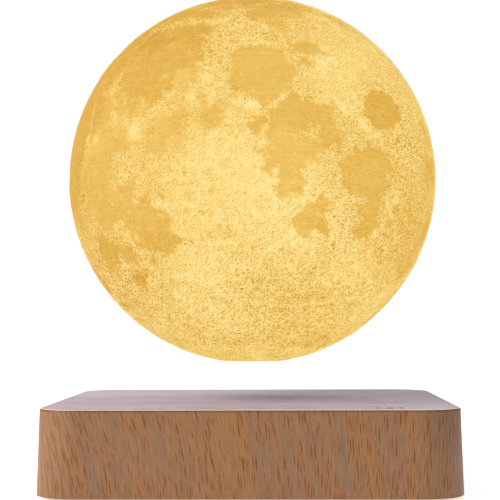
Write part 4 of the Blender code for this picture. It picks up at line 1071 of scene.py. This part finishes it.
def plain_tones(ways):
    """The tone of the plains, and how many degrees inside their shore each direction lies."""
    coast = 4.0 * clouds(ways, 8, 5, 3.1, fade=0.4)
    tone = np.full(len(ways), 0.35)
    shore = np.full(len(ways), -20.0)
    for latitude, longitude, tall, wide, turn, depth, width in PLAINS:
        x, y = degrees_from(ways, latitude, longitude)
        lean = math.radians(turn)
        x, y = x * math.cos(lean) + y * math.sin(lean), y * math.cos(lean) - x * math.sin(lean)
        out = np.sqrt((x / wide) ** 2 + (y / tall) ** 2)
        inside = (1 - out) * min(tall, wide) + coast * min(1.0, min(tall, wide) / 5, width)
        tone = tone + (depth - tone) * smooth(inside / max(width, 1.5) + 0.5 + (shore < 0))
        shore = np.maximum(shore, inside / width)
    return tone, shore


def ray_tones(ways):
    """The brightness that rays and ridges add, broken up along their length."""
    broken = 0.6 + 0.8 * clouds(ways, 3, 4, 9.3)
    added = np.zeros(len(ways))
    for lat_1, lon_1, lat_2, lon_2, width, lift in RAYS:
        x, y = degrees_from(ways, lat_1, lon_1)
        end_x, end_y = (end[0] for end in degrees_from(place_on_moon(lat_2, lon_2)[None], lat_1, lon_1))
        length = math.hypot(end_x, end_y)
        along = np.clip((x * end_x + y * end_y) / length, 0, length)
        across = np.hypot(x - along * end_x / length, y - along * end_y / length)
        added = added + lift * hump(across / width) * np.clip(broken, 0.2, 1.5)
    return added


def moon_map(ways):
    """Tones of the highlands and plains, the shore between them, relief tone and height."""
    high = 0.57 + 0.10 * clouds(ways, 14, 3, 1.7)
    for latitude, longitude, reach, lift in SWELLS:
        high = high + lift * hump(angle_from(ways, place_on_moon(latitude, longitude)) / reach)
    plain, shore = plain_tones(ways)
    inside = smooth(shore + 0.5)
    detail = ray_tones(ways) * (1 - 0.45 * inside)
    for latitude, longitude, radius, lift in LIGHTS:
        away = np.hypot(*degrees_from(ways, latitude, longitude)) / radius
        near = away < 3
        edge = away[near] + 0.5 * clouds(ways[near], 2, 4, 5.5)
        detail[near] += lift * np.exp(-(np.maximum(edge, 0) ** 3))
    mottle = clouds(ways, 2.6, 6, 12.4)
    detail += mottle * (0.11 - 0.05 * inside)
    south = smooth((-np.degrees(np.arcsin(ways[:, 2])) - 24) / 10)
    detail += 0.16 * clouds(ways, 5, 4, 21.3, squash=3.5) * south
    height = -0.00012 * inside + 0.0001 * mottle * (1 - 0.8 * inside)
    return high, plain, shore, detail, height


def add_craters(ways, detail, height, places, radii, strength):
    """Presses craters into the relief: each has a bright raised rim round a darker bowl."""
    for here, radius, force in zip(places, radii, strength):
        near = np.flatnonzero(ways @ here > math.cos(math.radians(min(radius * 2.2, 40))))
        away = angle_from(ways[near], here) / radius
        bowl = smooth((1 - away) / 0.6)
        rim = hump((away - 1) / 0.25)
        size = min(radius / 3, 1.0)
        height[near] += force * size * (0.00022 * rim - 0.0003 * bowl)
        detail[near] += force * (0.15 * rim - 0.12 * bowl)


def scatter_craters(count, seed):
    """Random craters: many small and few large, thick in the highlands and thin in the seas."""
    draw = np.random.default_rng(seed)
    places = draw.normal(size=(count, 3))
    places /= np.linalg.norm(places, axis=1)[:, None]
    radii = 0.7 / np.sqrt(draw.uniform(0.035, 1.0, count))
    _, shore = plain_tones(places)
    keep = draw.uniform(0, 1, count) > smooth(shore + 0.5) * 0.92
    strength = draw.uniform(0.2, 1.1, count)
    return places[keep], radii[keep], strength[keep]


small_places, small_radii, small_strength = scatter_craters(3600, 11)
large_places = place_on_moon([c[0] for c in LARGE_CRATERS], [c[1] for c in LARGE_CRATERS])
large_radii = [c[2] for c in LARGE_CRATERS]


def read_points(mesh):
    """The points of a mesh, one to a row."""
    points = np.zeros(len(mesh.vertices) * 3)
    mesh.vertices.foreach_get("co", points)
    return points.reshape(-1, 3)


def print_moon(piece):
    """Works the map into a round piece of the moon: its points move and get their tone."""
    mesh = piece.data
    points = read_points(mesh)
    out = np.linalg.norm(points, axis=1)
    ways = points / out[:, None]
    high, plain, shore, detail, height = moon_map(ways)
    add_craters(ways, detail, height, small_places, small_radii, small_strength)
    add_craters(ways, detail, height, large_places, large_radii, [1.0] * len(large_radii))
    latitude = np.degrees(np.arcsin(ways[:, 2]))
    # A darker band at the shell's ledge: partly the thicker wall there, partly a painted shadow of the ledge ring
    detail -= 0.17 * hump((latitude + 61.5) / 2.6)
    rough = 1.3 + 0.2 * smooth((-latitude - 12) / 20)
    for lat, lon, reach, extra in PITTED:
        near = extra * hump(angle_from(ways, place_on_moon(lat, lon)) / reach)
        rough += near
        detail -= 0.06 * near
    detail += 0.08 * hump((shore + 1.0) / 0.8)
    detail -= 0.09 * hump((shore - 0.8) / 0.6)
    on_ball = out > MOON_RADIUS * 0.995
    edge_fade = smooth(np.abs(points[:, 2] + math.sqrt(MOON_RADIUS**2 - MOUTH_RADIUS**2)) / 0.002)
    flat_fade = smooth((points[:, 2] - FLAT_Z) / 0.0006)
    height = np.minimum(height * edge_fade * flat_fade * on_ball, 0.00018)
    under_top = MOON_RADIUS * (1 / np.maximum(ways[:, 2], 0.1) - 1)
    height = np.minimum(height, under_top)
    points += ways * height[:, None]
    mesh.vertices.foreach_set("co", points.ravel())
    layers = {"high": high, "plain": plain, "shore": shore, "detail": detail, "rough": rough}
    for name, values in layers.items():
        layer = mesh.attributes.new(name, "FLOAT", "POINT")
        layer.data.foreach_set("value", values.astype(np.float32))
    mesh.update()


def round_cube(name, cuts):
    """A ball of even squares: a cube cut up, its faces spread evenly and blown up to the moon's radius."""
    bpy.ops.object.select_all(action="DESELECT")
    bpy.ops.mesh.primitive_cube_add(size=2)
    ball = open_new(name)
    bpy.ops.mesh.subdivide(number_cuts=1)
    bpy.ops.mesh.subdivide(number_cuts=cuts // 2 - 1)
    close()
    points = np.tan(read_points(ball.data) * math.pi / 4)
    points *= MOON_RADIUS / np.linalg.norm(points, axis=1)[:, None]
    ball.data.vertices.foreach_set("co", points.ravel())
    ball.data.update()
    return ball


def cut_level(piece, height, keep_above, fill=False):
    """Cuts a round piece off at a height and clears one side."""
    bpy.context.view_layer.objects.active = piece
    bpy.ops.object.mode_set(mode="EDIT")
    bpy.ops.mesh.select_all(action="SELECT")
    bpy.ops.mesh.bisect(
        plane_co=(0, 0, height),
        plane_no=(0, 0, 1),
        clear_inner=keep_above,
        clear_outer=not keep_above,
        use_fill=fill,
        threshold=1e-6,
    )
    close()


def join_at_mouth(outside, inside):
    """Joins the outer skin and the inner wall where both end, and turns all faces outwards."""
    merge(outside, [inside])
    bpy.ops.object.mode_set(mode="EDIT")
    bpy.ops.mesh.select_all(action="DESELECT")
    bpy.ops.mesh.select_non_manifold()
    bpy.ops.mesh.bridge_edge_loops()
    bpy.ops.mesh.select_all(action="SELECT")
    bpy.ops.mesh.normals_make_consistent(inside=False)
    close()


MOON_CUTS = 126
MOON_STEPS = 96
MOUTH_Z = -math.sqrt(MOON_RADIUS**2 - MOUTH_RADIUS**2)
moon_skin = round_cube("moon_skin", MOON_CUTS)
cut_level(moon_skin, MOUTH_Z, keep_above=True)
wall_line = [(MOUTH_RADIUS, LEDGE_LOW - 0.0003), (MOUTH_RADIUS, LEDGE_LOW)]
wall_line += [(LEDGE_INNER, LEDGE_LOW), (LEDGE_INNER, LEDGE_HIGH)]
angles = np.radians(np.linspace(math.degrees(math.asin(LEDGE_HIGH / HOLLOW_RADIUS)), 90, 49))
wall_line += [(HOLLOW_RADIUS * math.cos(up), HOLLOW_RADIUS * math.sin(up)) for up in angles[:-1]]
inner_wall = turn_profile("inner_wall", wall_line + [(0, HOLLOW_RADIUS)], MOON_STEPS)
join_at_mouth(moon_skin, inner_wall)
print_moon(moon_skin)
moon_skin.data.transform(Matrix.Translation((0, 0, MOON_MIDDLE)))

# PLA lit from within: a warm glow that is dim where the wall is thick. The surface itself is a
# matt, slightly waxy white that the warm light hides.
printed = new_material("lit_printed_pla", "#33291B", 0.7, Specular_IOR_Level=0.1, Emission_Strength=1.0)
TONE_LOW, TONE_SPAN = -0.4, 1.8
layers = {}
for name in ("high", "plain", "shore", "detail", "rough"):
    layers[name] = put(printed, "Attribute", attribute_name=name).outputs["Fac"]
place = put(printed, "TexCoord").outputs["Object"]
bend = put(printed, "TexNoise", place, 380.0, 2.0).outputs["Color"]
bent = put(printed, "VectorMath", bend, (0.0016, 0.0016, 0.0016), place, operation="MULTIPLY_ADD")
fine = 0.0
for cell_mm, share in ((3.2, 0.4), (1.9, 0.55), (1.2, 0.65)):
    moved = put(printed, "Mapping", bent, (cell_mm, 0, cell_mm))
    cells = put(printed, "TexVoronoi", moved, 1000 / cell_mm)
    own = put(printed, "SeparateColor", cells.outputs["Color"]).outputs["Red"]
    reach = put(printed, "POWER", own, 2.4)
    reach = put(printed, "MULTIPLY_ADD", reach, 1.9, 0.3)
    away = put(printed, "DIVIDE", cells, reach)
    ring = put(
        printed, "ValToRGB", away, stops=((0.0, 0.0), (0.14, 0.12), (0.25, 0.9), (0.36, 0.6), (0.55, 0.5))
    )
    fine = put(printed, "MULTIPLY_ADD", ring, share, fine)
    fine = put(printed, "SUBTRACT", fine, 0.5 * share)
# Two looks at the same fine noise, a little apart, give it a lit and a shaded side
sides = []
for shift in ((0.0, 0.0, 0.0), (0.0002, 0.0, -0.00022)):
    moved = put(printed, "Mapping", bent, shift, Scale=(1.0, 1.0, 1.25))
    grit = put(printed, "TexNoise", moved, 1250.0, 3.0, 0.75)
    sides.append(grit)
slope = put(printed, "SUBTRACT", sides[1], sides[0])
grit = put(printed, "MULTIPLY_ADD", sides[0], 1.05, -0.525)
grit = put(printed, "MULTIPLY_ADD", slope, 3.5, grit)
fine = put(printed, "ADD", fine, grit)
# The printer's layers show as thin level lines, best in the calm seas
long = put(printed, "Mapping", place, Scale=(55.0, 55.0, 1050.0))
layer_lines = put(printed, "TexNoise", long, 1.0, 2.0, 0.7)
lines = put(printed, "SUBTRACT", layer_lines, 0.5)
mottle = put(printed, "TexNoise", place, 260.0, 4.0, 0.65)
mottle = put(printed, "MULTIPLY_ADD", mottle, 0.35, -0.175)
lines = put(printed, "MULTIPLY_ADD", lines, 0.34, mottle)
# Small young craters: single pale specks, one in a few cells of a coarse pattern
cells = put(printed, "TexVoronoi", place, 330.0)
own = put(printed, "SeparateColor", cells.outputs["Color"]).outputs["Green"]
size = put(printed, "MapRange", own, 0.55, 1.0, 0.02, 0.3)
speck = put(printed, "MapRange", cells, size, 0.0, 0.0, 0.3)
lines = put(printed, "ADD", lines, speck)
coast = put(printed, "TexNoise", place, 520.0, 5.0, 0.75)
ragged = put(printed, "MULTIPLY_ADD", coast, 6.0, layers["shore"])
share = put(printed, "MapRange", ragged, 2.2, 3.8, interpolation_type="SMOOTHSTEP")
base = put(printed, "Mix", share, layers["high"], layers["plain"])
base = put(printed, "ADD", base, layers["detail"])
base = put(printed, "ADD", base, lines)
calm = put(printed, "MULTIPLY_ADD", share, -0.72, 1.0)
weight = put(printed, "MULTIPLY", layers["rough"], calm)
glow = put(printed, "MULTIPLY_ADD", fine, weight, base)
level = put(printed, "MULTIPLY_ADD", glow, 1 / TONE_SPAN, -TONE_LOW / TONE_SPAN)
warm = put(
    printed,
    "ValToRGB",
    level,
    stops=(
        (0.056, "#B88418"), (0.194, "#CF9D2E"), (0.272, "#D6A436"), (0.347, "#DCAA42"), (0.422, "#E3B44E"),
        (0.500, "#E7BC5B"), (0.578, "#EDC564"), (0.653, "#F2CC6D"), (0.728, "#F6D478"), (0.806, "#F9DC86"),
        (0.944, "#FFE89E"),
    ),
)
join(printed, Emission_Color=warm, Normal=put(printed, "Bump", Height=fine, Strength=0.5, Distance=0.0004))

# Inside, the wall is plain: the same lit PLA, with the printer's level lines
lit_wall = new_material("lit_printed_wall", "#33291B", 0.7, Specular_IOR_Level=0.1, Emission_Strength=1.0)
place = put(lit_wall, "TexCoord").outputs["Object"]
long = put(lit_wall, "Mapping", place, Scale=(60.0, 60.0, 2400.0))
lines = put(lit_wall, "TexNoise", long, 1.0, 2.0, 0.7)
warm = put(lit_wall, "ValToRGB", lines, stops=((0.3, "#E6B95A"), (0.7, "#F8D683")))
join(lit_wall, Emission_Color=warm, Normal=put(lit_wall, "Bump", Height=lines, Strength=0.4, Distance=0.0001))


def finish_print(piece):
    """Gives a printed piece its map outside and the plain wall inside. Its glow stays off other pieces."""
    coat(piece, printed, lit_wall, degrees=40)
    middle = Vector((0, 0, MOON_MIDDLE))
    for face in piece.data.polygons:
        if (face.center - middle).length < MOON_RADIUS - 0.0012:
            face.material_index = 1
    piece.visible_diffuse = piece.visible_glossy = False


finish_print(moon_skin)
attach(moon_skin, "moon")
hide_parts("moon_shell")


# Moon cap: the round lid that closes the mouth, printed with the same map. It carries the magnet in
# a pocket and the coil round it, and three small screws hold it to the shell's ledge.
CAP_RIM_HIGH = -0.0653
COLLAR_OUTER = 0.0292
COLLAR_INNER = 0.0276
COLLAR_HIGH = -0.0570
COIL_FLOOR = -0.0683
POCKET_RADIUS = 0.0194
POCKET_FLOOR = -0.0710
CAP_SCREW_CIRCLE = 0.03145
CAP_SCREW_SEAT = -0.0663
CAP_SCREW_ANGLES = (90, 210, 330)

cap_edge_z = -math.sqrt(MOON_RADIUS**2 - CAP_RADIUS**2)
cap_print = round_cube("moon_cap_print", MOON_CUTS)
cut_level(cap_print, cap_edge_z, keep_above=False)
cut_level(cap_print, FLAT_Z, keep_above=True, fill=True)
cap_line = [(CAP_RADIUS, cap_edge_z + 0.0003), (CAP_RADIUS, CAP_RIM_HIGH), (COLLAR_OUTER, CAP_RIM_HIGH)]
cap_line += [(COLLAR_OUTER, COLLAR_HIGH), (COLLAR_INNER, COLLAR_HIGH), (COLLAR_INNER, COIL_FLOOR)]
cap_line += [(POCKET_RADIUS, COIL_FLOOR), (POCKET_RADIUS, POCKET_FLOOR), (0, POCKET_FLOOR)]
cap_inside = turn_profile("cap_inside", cap_line, MOON_STEPS)
join_at_mouth(cap_print, cap_inside)
print_moon(cap_print)
for angle in CAP_SCREW_ANGLES:
    across = math.radians(angle)
    spot = (CAP_SCREW_CIRCLE * math.cos(across), CAP_SCREW_CIRCLE * math.sin(across))
    for radius, high in ((0.0015, CAP_SCREW_SEAT), (0.0009, CAP_RIM_HIGH + 0.001)):
        cut_away(cap_print, add_rod("screw_hole", radius, -0.072, high, spot, 24))
cap_print.data.transform(Matrix.Translation((0, 0, MOON_MIDDLE)))
finish_print(cap_print)
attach(cap_print, "moon")
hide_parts("moon_cap")


# Cap screws: three small plated screws with cross recesses, in the sunk holes of the cap.
CAP_SCREW_RADIUS = 0.0012
CAP_SCREW_HEAD = 0.0009
CAP_SCREW_SHANK = 0.0006
CAP_SCREW_PITCH = 0.0004
CAP_SCREW_REACH = 0.0026

screw = add_screw("screw", CAP_SCREW_RADIUS, CAP_SCREW_HEAD, CAP_SCREW_SHANK, CAP_SCREW_PITCH, CAP_SCREW_REACH)
coat(screw, zinc_steel)
for number, angle in enumerate(CAP_SCREW_ANGLES, 1):
    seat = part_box(f"cap_screw_{number}")[0].z + CAP_SCREW_HEAD
    across = math.radians(angle)
    place = (CAP_SCREW_CIRCLE * math.cos(across), CAP_SCREW_CIRCLE * math.sin(across), seat)
    small_screw = copy_to(screw, f"small_screw_{number}", place)
    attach(small_screw, "moon")
    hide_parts(f"cap_screw_{number}")
bpy.data.objects.remove(screw)


# Levitation magnet and its back plate: a nickel-plated disc in the cap's pocket, and a zinc-plated
# steel disc that turns its field downwards. The CAD's shapes stay.
# Nickel plating on a sintered magnet: bright, slightly yellow, with faint tumbling marks
magnet_plating = plated("tumbled_nickel_plating", "#CFCCC3", 0.16, 0.9, (1, 1, 1))
dress(magnet_plating, "levitation_magnet")
dress(zinc_steel, "magnet_back_plate")


# Receiver: the coil in the cap that picks up power, and the round white board with its chip and
# capacitor. White solder mask throws the light back into the moon.
MOON_BOARD_TOP = 0.0669

receive_wire = wound("receive_winding", "#B8682F", 0.0, 0.0006)
dress(receive_wire, "receive_coil")
white_board = etched_board("white_solder_mask", "#E4E4DF", "#D2D3CE", "#C2B78C")
dress(white_board, "receiver_board")
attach(add_chip("receiver", "receiver_chip", "x", 0.00127, MOON_BOARD_TOP), "moon")
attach(add_capacitor("receiver_can", "receiver_capacitor", MOON_BOARD_TOP), "moon")


# Lights: six warm white LEDs in a circle, each a white ceramic package with a domed yellow window,
# lit. They are soldered to the board under the diffuser.
LIGHT_HALF = 0.0025
LIGHT_CIRCLE = 0.012
LIGHT_BODY_TOP = 0.0684
LIGHT_TOP = 0.0688
WINDOW_RADIUS = 0.0019
LIGHT_EDGE = 0.00015

# Glazed alumina: a bright slightly warm white. The phosphor under silicone is deep yellow and lit.
alumina = grained("glazed_alumina", "#E9E6DF", 0.4, 0.3, 0.02, 0.05)
phosphor = grained("lit_phosphor_window", "#E8C24A", 0.3, 0.4, 0.02, 0.1, Emission_Strength=1.4)
place = put(phosphor, "TexCoord").outputs["Object"]
warm_light = put(phosphor, "TexNoise", place, 1500.0, 2.0)
glow = put(phosphor, "ValToRGB", warm_light, stops=((0.3, "#FFC24A"), (0.7, "#FFDF8A")))
join(phosphor, Emission_Color=glow)
light = add_block("light", LIGHT_HALF, LIGHT_HALF, MOON_BOARD_TOP + 0.00002, LIGHT_BODY_TOP)
round_off(light, LIGHT_EDGE, 2)
close()
coat(light, alumina)
dome = [(0, LIGHT_BODY_TOP - 0.0002), (WINDOW_RADIUS, LIGHT_BODY_TOP - 0.0002)]
for up in np.radians((0, 15, 30, 45, 60, 75)).tolist():
    dome.append((WINDOW_RADIUS * math.cos(up), LIGHT_BODY_TOP + (LIGHT_TOP - LIGHT_BODY_TOP) * math.sin(up)))
window = turn_profile("window", dome + [(0, LIGHT_TOP)], 40)
coat(window, phosphor)
merge(light, [window])
smooth_over(light)
for number in range(6):
    turn = Matrix.Rotation(number * math.pi / 3, 4, "Z")
    warm_led = copy_to(light, f"warm_light_{number + 1}", turn @ Vector((LIGHT_CIRCLE, 0, 0)), turn)
    warm_led.visible_diffuse = False
    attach(warm_led, "moon")
    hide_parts(f"led_{number + 1}")
bpy.data.objects.remove(light)


# Diffuser: a blow-moulded opal cup over the lights, which spreads their light round the moon.
# Opal acrylic, lit from inside: milky and warm with faint flow marks. The CAD's shape stays.
opal = grained("lit_opal_acrylic", "#F1E9DA", 0.35, 1.2, 0.03, 0.04, Emission_Strength=0.7)
place = put(opal, "TexCoord").outputs["Object"]
flow = put(opal, "TexNoise", place, 90.0, 3.0)
milk = put(opal, "ValToRGB", flow, stops=((0.3, "#F4CE86"), (0.7, "#FBE3B0")))
join(opal, Emission_Color=milk)
dress(opal, "led_diffuser")
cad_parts["led_diffuser"].visible_diffuse = False
